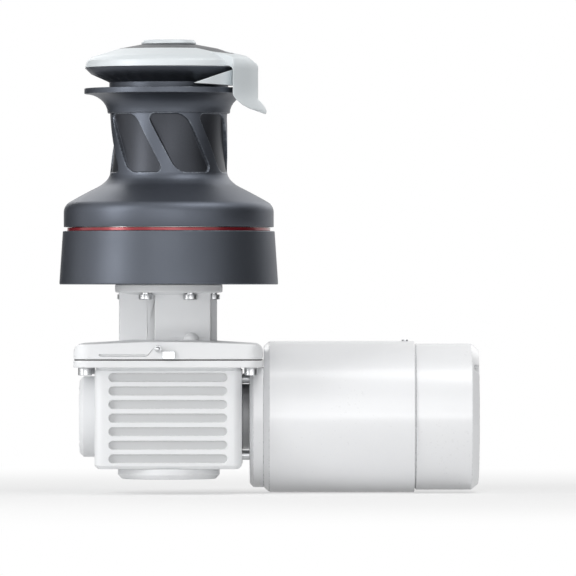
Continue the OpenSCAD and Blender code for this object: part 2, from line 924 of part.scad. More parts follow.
module line_peeler() {
    far = arm_inner_r + 32;
    color(SILVER)
        intersection() {
            rotate_extrude($fn = 180)
                polygon([[groove_r + 1, lower_jaw_top_z + 0.8], [arm_inner_r, lower_jaw_top_z + 0.8],
                    [arm_inner_r, upper_jaw_top_z - 1.2], [dome_edge_r, upper_jaw_top_z - 1.2],
                    [upper_knee[0], upper_knee[1] - 0.9], [groove_r + 1, groove_top_z - 0.4]]);
            translate([0, -15, 0])
                rotate([90, 0, 0])
                    linear_extrude(height = 80)
                        polygon([[arm_inner_r - 54.7, lower_jaw_top_z + 3.3],
                            [arm_inner_r - 20.7, upper_jaw_top_z - 2.7],
                            [arm_inner_r - 14, upper_jaw_top_z], [arm_inner_r - 6, upper_jaw_top_z],
                            [arm_inner_r - 6, lower_jaw_top_z + 0.5],
                            [arm_inner_r - 20.7, lower_jaw_top_z + 1.5]]);
            linear_extrude(height = dome_top_z)
                polygon(concat([[0, 0]], [for (a = [-75, -50, -33]) far * [cos(a), sin(a)]]));
        }
}

// Spindle and its pieces

module spindle() {
    color(STEEL)
        difference() {
            rotate_extrude()
                polygon([[0, spindle_z], [spindle_r, spindle_z],
                    [spindle_r, upper_bush_z + bush_len + 0.2],
                    [spindle_r + 3, upper_bush_z + bush_len + 0.2],
                    [spindle_r + 3, upper_bush_z + bush_len + 0.2 + collar_h],
                    [spindle_r, upper_bush_z + bush_len + 0.2 + collar_h],
                    [spindle_r, spindle_top_z], [0, spindle_top_z]]);
            star_hole(spindle_top_z + cap_h - socket_depth, socket_depth + 1);
            translate([0, 0, spindle_z - 1])
                cylinder(r = clutch_r, h = clutch_top_z + 4 - spindle_z + 1);
        }
}

module spindle_cap() {
    color(SILVER)
        difference() {
            rotate_extrude()
                polygon([[0, spindle_top_z], [cap_r, spindle_top_z],
                    [cap_r, spindle_top_z + cap_h * 0.35], [cap_r - 2, spindle_top_z + cap_h],
                    [0, spindle_top_z + cap_h]]);
            star_hole(spindle_top_z - 1, cap_h + 2);
        }
}

module drive_pinion() {
    color(STEEL)
        spur_gear(drive_teeth, gear1_z, gear_w, spindle_r);
}

module one_way_clutch() {
    color(BRONZE)
        ring(clutch_r, shaft_r + fit, clutch_top_z - 26, 26);
}

// Idler: gear with an inner ratchet, and pinion with two pawls

ratchet_teeth = 10;
ratchet_tip_r = 18.6;
ratchet_root_r = 21.7;
ratchet_phase = 32.5;
ratchet_lean = 6;
ratchet_rise = 2.1;
pocket_depth = gear_w / 2;
pawl_pivot_r = 13.5;
pawl_eye_r = 2.6;
pawl_h = pocket_depth - 0.8;
ratchet_z = gear1_z + gear_w - pocket_depth;
idler_hub_r = 16;

module ratchet_outline() {
    step = 360 / ratchet_teeth;
    polygon([
        for (i = [0:ratchet_teeth - 1])
            let (a = ratchet_phase + i * step)
            each [
                ratchet_root_r * [cos(a - ratchet_lean), sin(a - ratchet_lean)],
                ratchet_tip_r * [cos(a), sin(a)],
                (ratchet_tip_r + ratchet_rise / 2) * [cos(a + step / 3), sin(a + step / 3)],
                (ratchet_tip_r + ratchet_rise) * [cos(a + step * 2 / 3), sin(a + step * 2 / 3)]
            ]
    ]);
}

module idler_gear() {
    color(STEEL)
        translate([0, idler_y, 0])
            difference() {
                spur_gear(idler_teeth, gear1_z, gear_w, idler_pin_r + fit);
                translate([0, 0, ratchet_z])
                    linear_extrude(height = pocket_depth + 1)
                        ratchet_outline();
            }
}

module idler_pinion() {
    color(STEEL)
        translate([0, idler_y, 0])
            difference() {
                union() {
                    spur_gear(pinion_teeth, gear2_z, gear_w, idler_pin_r + fit);
                    ring(idler_hub_r, idler_pin_r + fit, ratchet_z + 0.1,
                        gear2_z - ratchet_z - 0.1);
                }
                for (a = [0, 180])
                    rotate([0, 0, a]) {
                        translate([pawl_pivot_r, 0, ratchet_z])
                            rod(pawl_eye_r + fit, pocket_depth + 0.1);
                        translate([0, 0, ratchet_z])
                            linear_extrude(height = pocket_depth + 0.1)
                                polygon([[pawl_pivot_r - 2.2, 0.6], [pawl_pivot_r - 3.2, 11],
                                    [pawl_pivot_r + 8, 12.5], [pawl_pivot_r + 8, -1.6],
                                    [pawl_pivot_r + 1.9, -1.6]]);
                    }
            }
}

module pawl(turn) {
    color(BRONZE)
        translate([0, idler_y, ratchet_z + 0.4])
            rotate([0, 0, turn])
                translate([pawl_pivot_r, 0, 0])
                    linear_extrude(height = pawl_h)
                        union() {
                            circle(r = pawl_eye_r, $fn = 48);
                            polygon([[-1.6, 0], [2.4, 0], [4.95, 8.5], [3.1, 9.65], [0.6, 8.6]]);
                        }
}

module pawl_1() {
    pawl(0);
}

module pawl_2() {
    pawl(180);
}

// Pedestal: collar, neck and gearbox lid in one casting

// Plan of the neck, with room for the bolt heads
module neck_plan() {
    difference() {
        union() {
            intersection() {
                circle(r = neck_r, $fn = 180);
                translate([-60, 8])
                    square([120, 60]);
            }
            intersection() {
                circle(r = neck_r + 2, $fn = 180);
                translate([-neck_r, neck_left_y])
                    square([neck_r + 1, 60 - neck_left_y]);
            }
            translate([buttress_x0, neck_front_y])
                square([buttress_x1 - buttress_x0, 30 - neck_front_y]);
        }
        around(6, neck_bolt_r)
            circle(r = M8[1] + 0.8, $fn = 48);
        translate([neck_r - 2, -M8[1] - 0.8])
            square([10, 2 * M8[1] + 1.6]);
        translate([-neck_r - 8, -M8[1] - 0.8])
            square([6, 2 * M8[1] + 1.6]);
    }
}

module pedestal() {
    color(PALE)
        difference() {
            union() {
                rotate_extrude($fn = 180)
                    polygon([[0, 0], [collar_r, 0], [collar_r, -collar_t],
                        [neck_bolt_r - 8, neck_head_z], [0, neck_head_z]]);
                translate([0, 0, lid_z - 2])
                    linear_extrude(height = neck_depth + 2 - collar_t)
                        neck_plan();
                translate([buttress_x0, 0, 0])
                    rotate([90, 0, 90])
                        linear_extrude(height = buttress_x1 - buttress_x0)
                            polygon([[neck_front_y, neck_head_z], [neck_front_y, lid_z + 18],
                                [neck_front_y - 2, lid_z + 10], [neck_front_y - 7, lid_z + 3],
                                [neck_front_y - 15, lid_z - 3], [neck_front_y - 24, lid_z - 7],
                                [lid_y0 + 1, lid_z - 9], [lid_y0 + 1, lid_z - 12],
                                [neck_front_y + 5, lid_z - 12], [neck_front_y + 5, neck_head_z]]);
                lid_plate();
                translate([20.5, neck_front_y - 8, lid_z])
                    sphere(r = 7, $fn = 64);
            }
            translate([0, 0, -seal_w - 3])
                cylinder(r = seal_r, h = seal_w + 4);
            translate([0, 0, lid_z])
                cylinder(r = neck_bore_r - 4, h = neck_depth - seal_w - 3);
            translate([0, 0, lid_bottom_z - 1])
                cylinder(r = hub_shaft_r + 4, h = lid_t + 2);
            translate([0, 0, lid_bottom_z - 1])
                cylinder(r = main_bearing_r, h = main_bearing_w + 1);
            around(6, neck_bolt_r)
                translate([0, 0, -30])
                    rod(M8[0], 40);
            around(6, neck_bolt_r)
                translate([0, 0, neck_head_z - M8_LOW[2] - 0.2])
                    rod(M8_LOW[1] + 0.3, M8_LOW[2] + 0.2);
            for (p = box_bolt_places)
                translate([p[0], p[1], lid_bottom_z - 1])
                    rod(M8[0], 12);
            translate([-60.8, lid_y0 - 1, lid_bottom_z + 2.9])
                cube([41.6, 1.6, 1.2]);
        }
}

module lid_plate() {
    intersection() {
        rounded_plate(-lid_out_w, lid_out_w, lid_y0, lid_y1, lid_corner_r, lid_bottom_z, lid_t + 2);
        rotate_extrude($fn = 180)
            polygon([[0, lid_bottom_z - 5], [160, lid_bottom_z - 5],
                [160, lid_z - (160 - neck_r) * lid_slope], [neck_r, lid_z], [0, lid_z]]);
        translate([0, lid_y1 + 10, 0])
            rotate([90, 0, 0])
                linear_extrude(height = lid_y1 - lid_y0 + 20)
                    polygon(concat(
                        [[-lid_out_w, lid_bottom_z], [lid_out_w, lid_bottom_z]],
                        arc([lid_out_w - 8, lid_z - 10.7], 8, 0, 90),
                        [[0, lid_z + 2]],
                        arc([-lid_out_w + 8, lid_z - 10.7], 8, 90, 180)));
    }
}

module neck_bolts() {
    color(STEEL)
        around(6, neck_bolt_r)
            translate([0, 0, neck_head_z])
                mirror([0, 0, 1])
                    cap_screw(M8_LOW, floor_t - 1 - neck_head_z);
}

module grease_fitting() {
    fitting_x = -8.7;
    block_t = 2.5;
    color(STEEL) {
        translate([fitting_x, lid_y0, lid_z - 7.6])
            rotate([90, 0, 0])
                union() {
                    cylinder(r = 3.4, h = 3, $fn = 6);
                    cylinder(r = 1.8, h = 6, $fn = 32);
                    translate([0, 0, 6])
                        sphere(r = 2.3, $fn = 32);
                }
        translate([-4.7, lid_y0 - block_t, lid_bottom_z + 0.5])
            cube([11, block_t, 6.8]);
    }
}

module shaft_seal() {
    color(BLACK)
        ring(seal_r, shaft_r + fit, -seal_w - 3, seal_w);
}

// Gearbox

module gearbox_housing() {
    color(PALE)
        difference() {
            union() {
                rounded_plate(-lid_out_w - 0.3, lid_out_w + 0.3, lid_y0, lid_y1, lid_corner_r,
                    box_top_z - box_flange_t, box_flange_t);
                rounded_plate(-box_half_w + 1.5, box_half_w - 1.5, box_y0 + 1.5, box_y1 - 1.5, 8,
                    box_top_z - box_flange_t - 3, 4);
                rounded_plate(-box_half_w, box_half_w, box_y0, box_y1, 8,
                    box_bottom_z + box_chamfer, box_h - box_chamfer - 2.4);
                hull() {
                    rounded_plate(-box_half_w, box_half_w, box_y0, box_y1, 8,
                        box_bottom_z + box_chamfer, 0.2);
                    rounded_plate(-box_half_w + box_chamfer, box_half_w - box_chamfer,
                        box_y0 + box_chamfer, box_y1 - box_chamfer, 6, box_bottom_z, 0.2);
                }
            }
            difference() {
                translate([-box_half_w + box_wall, box_y0 + box_wall, box_bottom_z + box_wall])
                    cube([2 * (box_half_w - box_wall), box_y1 - box_y0 - 2 * box_wall,
                        box_h + box_flange_t]);
                translate([0, 0, box_bottom_z])
                    cylinder(r = main_bearing_r + 7, h = main_bearing_w + 4);
                for (x = [-box_half_w, box_half_w - box_wall - 4])
                    on_motor_axis(x)
                        cylinder(r = worm_bearing_r + 6, h = box_wall + 4);
            }
            translate([0, 0, box_bottom_z - 1])
                cylinder(r = main_bearing_r, h = main_bearing_w + 6);
            on_motor_axis(-box_half_w - 1)
                cylinder(r = worm_bearing_r, h = 2 * box_half_w + 2);
            for (i = [0:slot_count - 1])
                translate([0, box_y0, box_top_z - box_flange_t - 8.8 - i * slot_pitch])
                    cooling_slot();
            for (p = box_bolt_places)
                translate([p[0], p[1], box_top_z - box_flange_t - 1])
                    rod(M8[0], box_flange_t + 2);
            for (a = [45:90:315])
                on_motor_axis(-box_half_w - 1)
                    rotate([0, 0, a])
                        translate([end_screw_r, 0, 0])
                            rod(M5[0], 11);
            for (a = [45:90:315])
                on_motor_axis(box_half_w - 9)
                    rotate([0, 0, a])
                        translate([flange_screw_r, 0, 0])
                            rod(M8[0], 20);
        }
}

module cooling_slot() {
    half = slot_half_len - slot_h / 2;
    translate([-half, -1, -slot_h / 2])
        cube([2 * half, slot_depth + 1, slot_h]);
    for (x = [-half, half])
        translate([x, slot_depth, 0])
            rotate([90, 0, 0])
                cylinder(d = slot_h, h = slot_depth + 1, $fn = 48);
}

module gearbox_gasket() {
    color(BLACK)
        difference() {
            rounded_plate(-lid_out_w + 0.6, lid_out_w - 0.6, lid_y0 + 0.6, lid_y1 - 0.6,
                lid_corner_r - 0.6, box_top_z, gasket_t);
            translate([-box_half_w + box_wall, box_y0 + box_wall, box_top_z - 1])
                cube([2 * (box_half_w - box_wall), box_y1 - box_y0 - 2 * box_wall, gasket_t + 2]);
            for (p = box_bolt_places)
                translate([p[0], p[1], box_top_z - 1])
                    rod(M8[0], gasket_t + 2);
        }
}

module gearbox_bolts() {
    color(STEEL)
        for (p = box_bolt_places)
            translate([p[0], p[1], box_top_z - box_flange_t])
                mirror([0, 0, 1])
                    cap_screw([M8[0], 6.2, 7.2], box_flange_t + gasket_t + 10);
}

module bottom_cap() {
    color(PALE)
        difference() {
            rotate_extrude()
                polygon([[0, box_bottom_z - bottom_cap_t], [cap_seat_r - 3.6, box_bottom_z - bottom_cap_t],
                    [cap_seat_r, box_bottom_z - bottom_cap_t + 4], [cap_seat_r, box_bottom_z],
                    [main_bearing_r, box_bottom_z], [main_bearing_r, box_bottom_z + 4],
                    [main_bearing_r - 6, box_bottom_z + 4], [main_bearing_r - 6, box_bottom_z - 3],
                    [0, box_bottom_z - 3]]);
            for (a = [45:90:315])
                rotate([0, 0, a])
                    translate([36, 0, box_bottom_z - bottom_cap_t - 1])
                        rod(4.4, 4);
        }
}

module shaft_bearings() {
    color(STEEL) {
        ring(main_bearing_r, hub_shaft_r + fit, lid_bottom_z, main_bearing_w);
        ring(main_bearing_r, hub_shaft_r + fit, box_bottom_z + 4, main_bearing_w);
    }
}

module worm_end_cover() {
    color(PALE)
        difference() {
            on_motor_axis(-box_half_w - end_cover_t)
                rotate_extrude()
                    polygon([[0, 0], [end_cover_r - cover_edge, 0], [end_cover_r, cover_edge],
                        [end_cover_r, end_cover_t], [worm_bearing_r - fit, end_cover_t],
                        [worm_bearing_r - fit, end_cover_t + 2], [0, end_cover_t + 2]]);
            on_motor_axis(-box_half_w - 5)
                cylinder(r = worm_bearing_r - 6, h = 8);
            for (a = [45:90:315])
                on_motor_axis(-box_half_w - end_cover_t - 1)
                    rotate([0, 0, a])
                        translate([end_screw_r, 0, 0]) {
                            rod(M5[0], end_cover_t + 2);
                            rod(M5[1] + head_play, end_screw_seat + 1);
                        }
        }
}

module end_cover_screws() {
    color(STEEL)
        for (a = [45:90:315])
            on_motor_axis(-box_half_w - end_cover_t + end_screw_seat)
                rotate([0, 0, a])
                    translate([end_screw_r, 0, 0])
                        mirror([0, 0, 1])
                            cap_screw(M5, end_cover_t - end_screw_seat + 9);
}

module worm_bearings() {
    color(STEEL) {
        on_motor_axis(-box_half_w + 2)
            ring(worm_bearing_r, shaft_r + fit, 0, worm_bearing_w);
        on_motor_axis(box_half_w - 2 - worm_bearing_w)
            ring(worm_bearing_r, shaft_r + fit, 0, worm_bearing_w);
    }
}

// Output shaft with the worm wheel

module output_shaft() {
    color(STEEL)
        rotate_extrude()
            polygon([[0, box_bottom_z + 2], [hub_shaft_r, box_bottom_z + 2],
                [hub_shaft_r, worm_z - wheel_w / 2 - 2], [hub_shaft_r + 5, worm_z - wheel_w / 2 - 2],
                [hub_shaft_r + 5, worm_z - wheel_w / 2], [hub_shaft_r, worm_z - wheel_w / 2],
                [hub_shaft_r, lid_z + 4], [shaft_r, lid_z + 6],
                [shaft_r, clutch_top_z + 1], [shaft_r - 1, clutch_top_z + 2],
                [0, clutch_top_z + 2]]);
}

// Worm wheel: each tooth leans by the worm's lead angle
lead = PI * gear_module;
lead_angle = atan(lead / (2 * PI * worm_r));

module worm_wheel() {
    wheel_r = gear_module * wheel_teeth / 2;
    root_r = wheel_r - 1.25 * gear_module;
    tip_r = wheel_r + gear_module;
    tooth_root = lead / 2 + 2 * 1.25 * gear_module * tan(pressure_angle) - backlash;
    tooth_tip = lead / 2 - 2 * gear_module * tan(pressure_angle) - backlash;
    color(BRONZE)
        difference() {
            union() {
                translate([0, 0, worm_z - wheel_w / 2])
                    cylinder(r = root_r, h = wheel_w);
                translate([0, 0, worm_z - wheel_w / 2])
                    cylinder(r = hub_shaft_r + 8, h = wheel_w + 8);
                for (i = [0:wheel_teeth - 1])
                    rotate([0, 0, 90 + i * 360 / wheel_teeth])
                        translate([0, 0, worm_z])
                            rotate([-lead_angle, 0, 0])
                                translate([0, 0, -wheel_w / 2 + 0.4])
                                    linear_extrude(height = wheel_w - 0.8)
                                        polygon([[root_r - 0.6, -tooth_root / 2],
                                            [tip_r, -tooth_tip / 2], [tip_r, tooth_tip / 2],
                                            [root_r - 0.6, tooth_root / 2]]);
            }
            translate([0, 0, worm_z - wheel_w / 2 - 1])
                cylinder(r = hub_shaft_r, h = wheel_w + 10);
            for (i = [0:5])
                rotate([0, 0, i * 60])
                    translate([(root_r + hub_shaft_r + 8) / 2 - 1, 0, worm_z - wheel_w / 2 - 1])
                        rod(3.2, wheel_w + 2);
        }
}

// Worm, cut on the shaft that runs on through the motor

// Worm along Z as one closed surface: four rows of points a turn, which wind with the thread
module worm_body(turns) {
    steps = 24;
    rows = 4 * turns;
    root_r = worm_r - 1.25 * gear_module;
    tip_r = worm_r + gear_module;
    half_root = (lead / 2 - backlash) / 2 + 1.25 * gear_module * tan(pressure_angle);
    half_tip = (lead / 2 - backlash) / 2 - gear_module * tan(pressure_angle);
    offsets = [-half_root, -half_tip, half_tip, half_root];
    end_z = (turns + 1) / 2 * lead + 4;
    // Number of the point in column i and row j; column 24 is column 0 one turn on
    function at(i, j) = i < steps ? i * (rows + 5) + j : j + 4;
    points = concat(
        [
            for (i = [0:steps - 1])
                for (j = [0:rows + 4])
                    let (
                        s = floor(j / 4) + i / steps,
                        rise = max(0, min(1, 3 * (s - 0.4), 3 * (turns - 0.4 - s))),
                        r = j % 4 == 0 || j % 4 == 3 ? root_r : root_r + (tip_r - root_r) * rise,
                        a = i * 360 / steps
                    )
                    [r * cos(a), r * sin(a), (s - turns / 2) * lead + offsets[j % 4]]
        ],
        [for (z = [-end_z, end_z]) for (i = [0:steps - 1])
            let (a = (i + 0.5) * 360 / steps) [root_r * cos(a), root_r * sin(a), z]]
    );
    low = steps * (rows + 5);
    high = low + steps;
    faces = concat(
        [for (i = [0:steps - 1]) for (j = [0:rows - 1])
            each [[at(i, j), at(i, j + 1), at(i + 1, j + 1)],
                [at(i, j), at(i + 1, j + 1), at(i + 1, j)]]],
        [for (i = [0:steps - 1])
            let (n = (i + 1) % steps)
            each [[low + i, at(i, 0), at(i + 1, 0)], [low + i, at(n, 0), low + n],
                [at(i, rows), high + i, at(i + 1, rows)], [at(i + 1, rows), high + i, high + n]]],
        [for (j = [0:3])
            each [[low + steps - 1, at(0, j + 1), at(0, j)],
                [high, at(0, rows + j), at(0, rows + j + 1)]]],
        [[for (i = [0:steps - 1]) low + i], [for (i = [steps - 1:-1:0]) high + i]]
    );
    polyhedron(points = points, faces = faces, convexity = 10);
}

worm_turns = 6;
worm_phase = 90;

module worm_shaft() {
    color(STEEL)
        union() {
            on_motor_axis(0)
                rotate([0, 0, worm_phase])
                    worm_body(worm_turns);
            on_motor_axis(-box_half_w + 1)
                cylinder(r = shaft_r, h = box_half_w + rear_end_x - rear_wall_t - 2);
        }
}

// Motor

module motor_flange() {
    color(PALE)
        difference() {
            on_motor_axis(box_half_w)
                rotate_extrude($fn = 180)
                    polygon([[0, 0], [standoff_r, 0], [standoff_r, standoff_len],
                        [flange_r - flange_edge, standoff_len], [flange_r, standoff_len + flange_edge],
                        [flange_r, standoff_len + flange_t], [0, standoff_len + flange_t]]);
            translate([flange_x - 1, worm_y - flange_r - 1, box_top_z - box_flange_t - 0.7])
                cube([flange_t + 2, 2 * flange_r + 2, 80]);
            on_motor_axis(box_half_w - 1)
                cylinder(r = motor_bearing_r, h = standoff_len + flange_t + 2);
            for (a = [45:90:315])
                on_motor_axis(box_half_w)
                    rotate([0, 0, a])
                        translate([flange_screw_r, 0, 0]) {
                            rod(M8[0], 30);
                            translate([0, 0, flange_seat_x])
                                rod(M8[1] + head_play, M8[2] + 4);
                        }
        }
}

module flange_screws() {
    color(STEEL)
        for (a = [45:90:315])
            on_motor_axis(box_half_w + flange_seat_x)
                rotate([0, 0, a])
                    translate([flange_screw_r, 0, 0])
                        cap_screw(M8, flange_seat_x + 8);
}

module motor_front_bell() {
    color(PALE)
        difference() {
            on_motor_axis(bell_x)
                rotate_extrude($fn = 180)
                    polygon([[0, 0], [flange_r, 0], [can_r, bell_len], [can_inner_r, bell_len],
                        [can_inner_r, bell_len + spigot_len], [0, bell_len + spigot_len]]);
            on_motor_axis(bell_x - 1)
                cylinder(r = motor_bearing_r, h = 30);
            on_motor_axis(can_x + 2)
                ring(can_inner_r - 4, motor_bearing_r + 5, 0, spigot_len);
        }
}

module motor_can() {
    color(PALE)
        difference() {
            on_motor_axis(can_x)
                ring(can_r, can_inner_r, 0, can_len, $fn = 180);
            translate([can_end_x - 8.5, worm_y, worm_z + can_inner_r - 2])
                rod(M4[0], 10);
        }
}

module vent_plug() {
    color(STEEL)
        translate([can_end_x - 8.5, worm_y, worm_z + can_r])
            cap_screw([M4[0], 3, 1.6], can_wall);
}

module motor_magnets() {
    color(BLACK)
        for (i = [0:3])
            on_motor_axis(core_x - 5)
                rotate([0, 0, i * 90 - 33])
                    rotate_extrude(angle = 66, $fn = 180)
                        translate([magnet_r, 0])
                            square([magnet_t, core_len + 10]);
}

module motor_rear_bell() {
    step_w = 1.1;
    step_r = rear_r - 1.3;
    bevel = 6.5;
    color(PALE)
        difference() {
            on_motor_axis(can_end_x)
                rotate_extrude($fn = 180)
                    polygon([[0, -5], [can_inner_r, -5], [can_inner_r, 0], [step_r, 0],
                        [step_r, step_w], [rear_r, step_w], [rear_r, rear_len - bevel],
                        [rear_r - 5.4, rear_len], [0, rear_len]]);
            difference() {
                on_motor_axis(can_end_x - 6)
                    cylinder(r = rear_pocket_r, h = rear_len + 6 - rear_wall_t);
                on_motor_axis(rear_end_x - rear_wall_t - motor_bearing_w - 1)
                    cylinder(r = motor_bearing_r + 5, h = 30);
                for (a = [45, 225])
                    on_motor_axis(brush_plate_x + brush_plate_t)
                        rotate([0, 0, a])
                            translate([tie_circle_r, 0, 0])
                                rod(7, rear_len);
            }
            on_motor_axis(rear_end_x - rear_wall_t - motor_bearing_w - 2)
                cylinder(r = motor_bearing_r, h = motor_bearing_w + 2);
            for (a = [45, 225])
                on_motor_axis(can_x)
                    rotate([0, 0, a])
                        translate([tie_circle_r, 0, 0]) {
                            rod(M5[0], can_len + rear_len + 5);
                            translate([0, 0, can_len + rear_len - 13])
                                rod(M5[1] + 0.3, 20);
                        }
            for (s = [-1, 1])
                translate([terminal_x, worm_y, worm_z + s * terminal_gap_z / 2])
                    rotate([-90, 0, 0])
                        rod(terminal_neck_r, 80);
        }
}

module through_bolts() {
    color(STEEL)
        for (a = [45, 225])
            on_motor_axis(rear_end_x - 13)
                rotate([0, 0, a])
                    translate([tie_circle_r, 0, 0])
                        cap_screw(M5, rear_len - 13 + can_len - 8);
}

module motor_bearings() {
    color(STEEL) {
        on_motor_axis(can_x - 3)
            ring(motor_bearing_r, shaft_r + fit, 0, motor_bearing_w);
        on_motor_axis(rear_end_x - rear_wall_t - motor_bearing_w)
            ring(motor_bearing_r, shaft_r + fit, 0, motor_bearing_w);
    }
}

module armature_core() {
    color(STEEL)
        on_motor_axis(core_x)
            difference() {
                cylinder(r = core_r, h = core_len, $fn = 180);
                translate([0, 0, -1])
                    cylinder(r = shaft_r, h = core_len + 2);
                around(core_slots, core_r - 9)
                    translate([0, -2, -1])
                        cube([20, 4, core_len + 2]);
            }
}

module armature_windings() {
    color(COPPER)
        for (s = [0, 1])
            on_motor_axis(core_x + s * core_len + (s - 1) * 12)
                difference() {
                    rotate_extrude()
                        union() {
                            translate([shaft_r + 8, 0])
                                square([core_r - shaft_r - 14, 12]);
                            translate([core_r - 6, 0])
                                square([3, 12]);
                        }
                    around(core_slots, core_r - 10)
                        translate([0, -1, s * 9 - 1])
                            cube([20, 2, 5]);
                }
}

module commutator() {
    color(COPPER)
        on_motor_axis(commutator_x)
            difference() {
                cylinder(r = commutator_r, h = commutator_len);
                translate([0, 0, -1])
                    cylinder(r = shaft_r, h = commutator_len + 2);
                around(commutator_bars, commutator_r - 1.5)
                    translate([0, -0.4, -1])
                        cube([5, 0.8, commutator_len + 2]);
            }
}

module brush_holder() {
    color(BLACK)
        difference() {
            union() {
                on_motor_axis(brush_plate_x)
                    ring(rear_pocket_r - fit, commutator_r + 3, 0, brush_plate_t);
                for (i = [0:3])
                    on_motor_axis(brush_plate_x - brush_h - 4)
                        rotate([0, 0, i * 90])
                            translate([commutator_r + 4, -brush_w / 2 - 2, 0])
                                cube([brush_len + 8, brush_w + 4, brush_h + 5]);
            }
            for (i = [0:3])
                on_motor_axis(brush_plate_x - brush_h - 2)
                    rotate([0, 0, i * 90])
                        translate([commutator_r, -brush_w / 2, 0])
                            cube([brush_len + 6, brush_w, brush_h]);
            for (a = [45, 225])
                on_motor_axis(brush_plate_x - 1)
                    rotate([0, 0, a])
                        translate([tie_circle_r, 0, 0])
                            rod(M5[0] + 1, 8);
        }
}

module brushes() {
    color(BLACK)
        for (i = [0:3])
            on_motor_axis(brush_plate_x - brush_h - 2)
                rotate([0, 0, i * 90])
                    translate([commutator_r + 0.15, -brush_w / 2, 0])
                        cube([brush_len, brush_w, brush_h]);
}

module motor_terminals() {
    for (s = [-1, 1])
        translate([terminal_x, worm_y, worm_z + s * terminal_gap_z / 2])
            rotate([-90, 0, 0]) {
                color(BLACK) {
                    translate([0, 0, rear_r - 12])
                        rod(terminal_neck_r, 14);
                    translate([0, 0, terminal_seat])
                        rod(terminal_r, 4);
                }
                color(COPPER)
                    translate([0, 0, rear_r])
                        rod(M8[0], 22);
            }
}

base_housing();
red_trim_ring();
center_stem();
stem_screws();
spindle_bushes();
bearing_spacer();
stripper_arm();
line_peeler();
arm_cover();
arm_screws();
idler_pin();
pedestal();
neck_bolts();
grease_fitting();
shaft_seal();
gearbox_housing();
gearbox_gasket();
gearbox_bolts();
worm_end_cover();
end_cover_screws();
bottom_cap();
shaft_bearings();
worm_bearings();
motor_flange();
flange_screws();
motor_front_bell();
motor_can();
motor_magnets();
motor_rear_bell();
brush_holder();
brushes();
motor_terminals();
through_bolts();
motor_bearings();
vent_plug();
drum_shell();
drum_ring_gear();
ring_gear_screws();
upper_jaw();
jaw_screws();
jaw_springs();
lower_jaw();
lower_roller_bearing();
upper_roller_bearing();
spindle();
drive_pinion();
spindle_cap();
one_way_clutch();
idler_gear();
idler_pinion();
pawl_1();
pawl_2();
output_shaft();
worm_wheel();
worm_shaft();
armature_core();
armature_windings();
commutator();
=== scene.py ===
import json
import logging
import math
from collections.abc import Callable, Iterable, Iterator, Sequence
from contextlib import contextmanager
from dataclasses import dataclass
from enum import Enum

import bmesh
import bpy
from mathutils import Matrix, Vector


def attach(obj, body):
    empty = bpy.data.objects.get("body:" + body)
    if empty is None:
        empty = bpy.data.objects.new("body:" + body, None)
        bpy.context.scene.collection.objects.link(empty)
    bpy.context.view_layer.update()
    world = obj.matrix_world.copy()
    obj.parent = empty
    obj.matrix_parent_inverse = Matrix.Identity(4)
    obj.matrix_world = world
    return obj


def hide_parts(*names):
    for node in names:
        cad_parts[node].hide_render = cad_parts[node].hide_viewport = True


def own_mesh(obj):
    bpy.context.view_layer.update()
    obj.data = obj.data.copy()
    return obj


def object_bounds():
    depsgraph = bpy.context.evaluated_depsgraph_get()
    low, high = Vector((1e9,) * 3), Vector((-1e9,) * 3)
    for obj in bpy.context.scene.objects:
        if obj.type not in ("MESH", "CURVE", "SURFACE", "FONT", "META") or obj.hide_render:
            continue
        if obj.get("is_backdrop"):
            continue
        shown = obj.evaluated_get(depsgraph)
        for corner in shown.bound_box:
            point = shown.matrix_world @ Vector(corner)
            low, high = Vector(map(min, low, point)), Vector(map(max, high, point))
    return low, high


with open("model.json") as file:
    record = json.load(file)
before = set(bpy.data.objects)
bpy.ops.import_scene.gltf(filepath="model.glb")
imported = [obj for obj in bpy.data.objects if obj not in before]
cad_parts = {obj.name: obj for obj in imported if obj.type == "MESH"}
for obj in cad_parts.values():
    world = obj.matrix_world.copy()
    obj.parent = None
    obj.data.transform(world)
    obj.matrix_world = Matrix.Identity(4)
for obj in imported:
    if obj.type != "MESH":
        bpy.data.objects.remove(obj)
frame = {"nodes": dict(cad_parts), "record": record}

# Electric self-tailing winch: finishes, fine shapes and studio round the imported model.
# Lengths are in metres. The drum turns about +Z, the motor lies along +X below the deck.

LOG = logging.getLogger("winch")
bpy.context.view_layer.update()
Colour = tuple[float, float, float]
Point = tuple[float, float, float]
Seat = tuple[Point, Point]
Outline = Sequence[tuple[float, float]]
MM = 0.001


class Slot(Enum):
    """Material slots of the record."""

    DECK_GREY = "deck_grey"
    TRIM_RED = "trim_red"
    ARM_SILVER = "arm_silver"
    COVER_BLACK = "cover_black"
    CAST_PALE = "cast_pale"
    MOTOR_PALE = "motor_pale"
    SCREW_STEEL = "screw_steel"
    GEAR_STEEL = "gear_steel"
    BRONZE = "bronze"
    COPPER = "copper"
    SEAL_RUBBER = "seal_rubber"
    MAGNET_BLACK = "magnet_black"
    CARBON = "carbon"
    INSULATOR = "insulator"


class Axis(Enum):
    """Axis that a turned surface was turned about, as the rotation that brings it to Z."""

    Z = (0.0, 0.0, 0.0)
    X = (0.0, -math.pi / 2, 0.0)


# Node trees


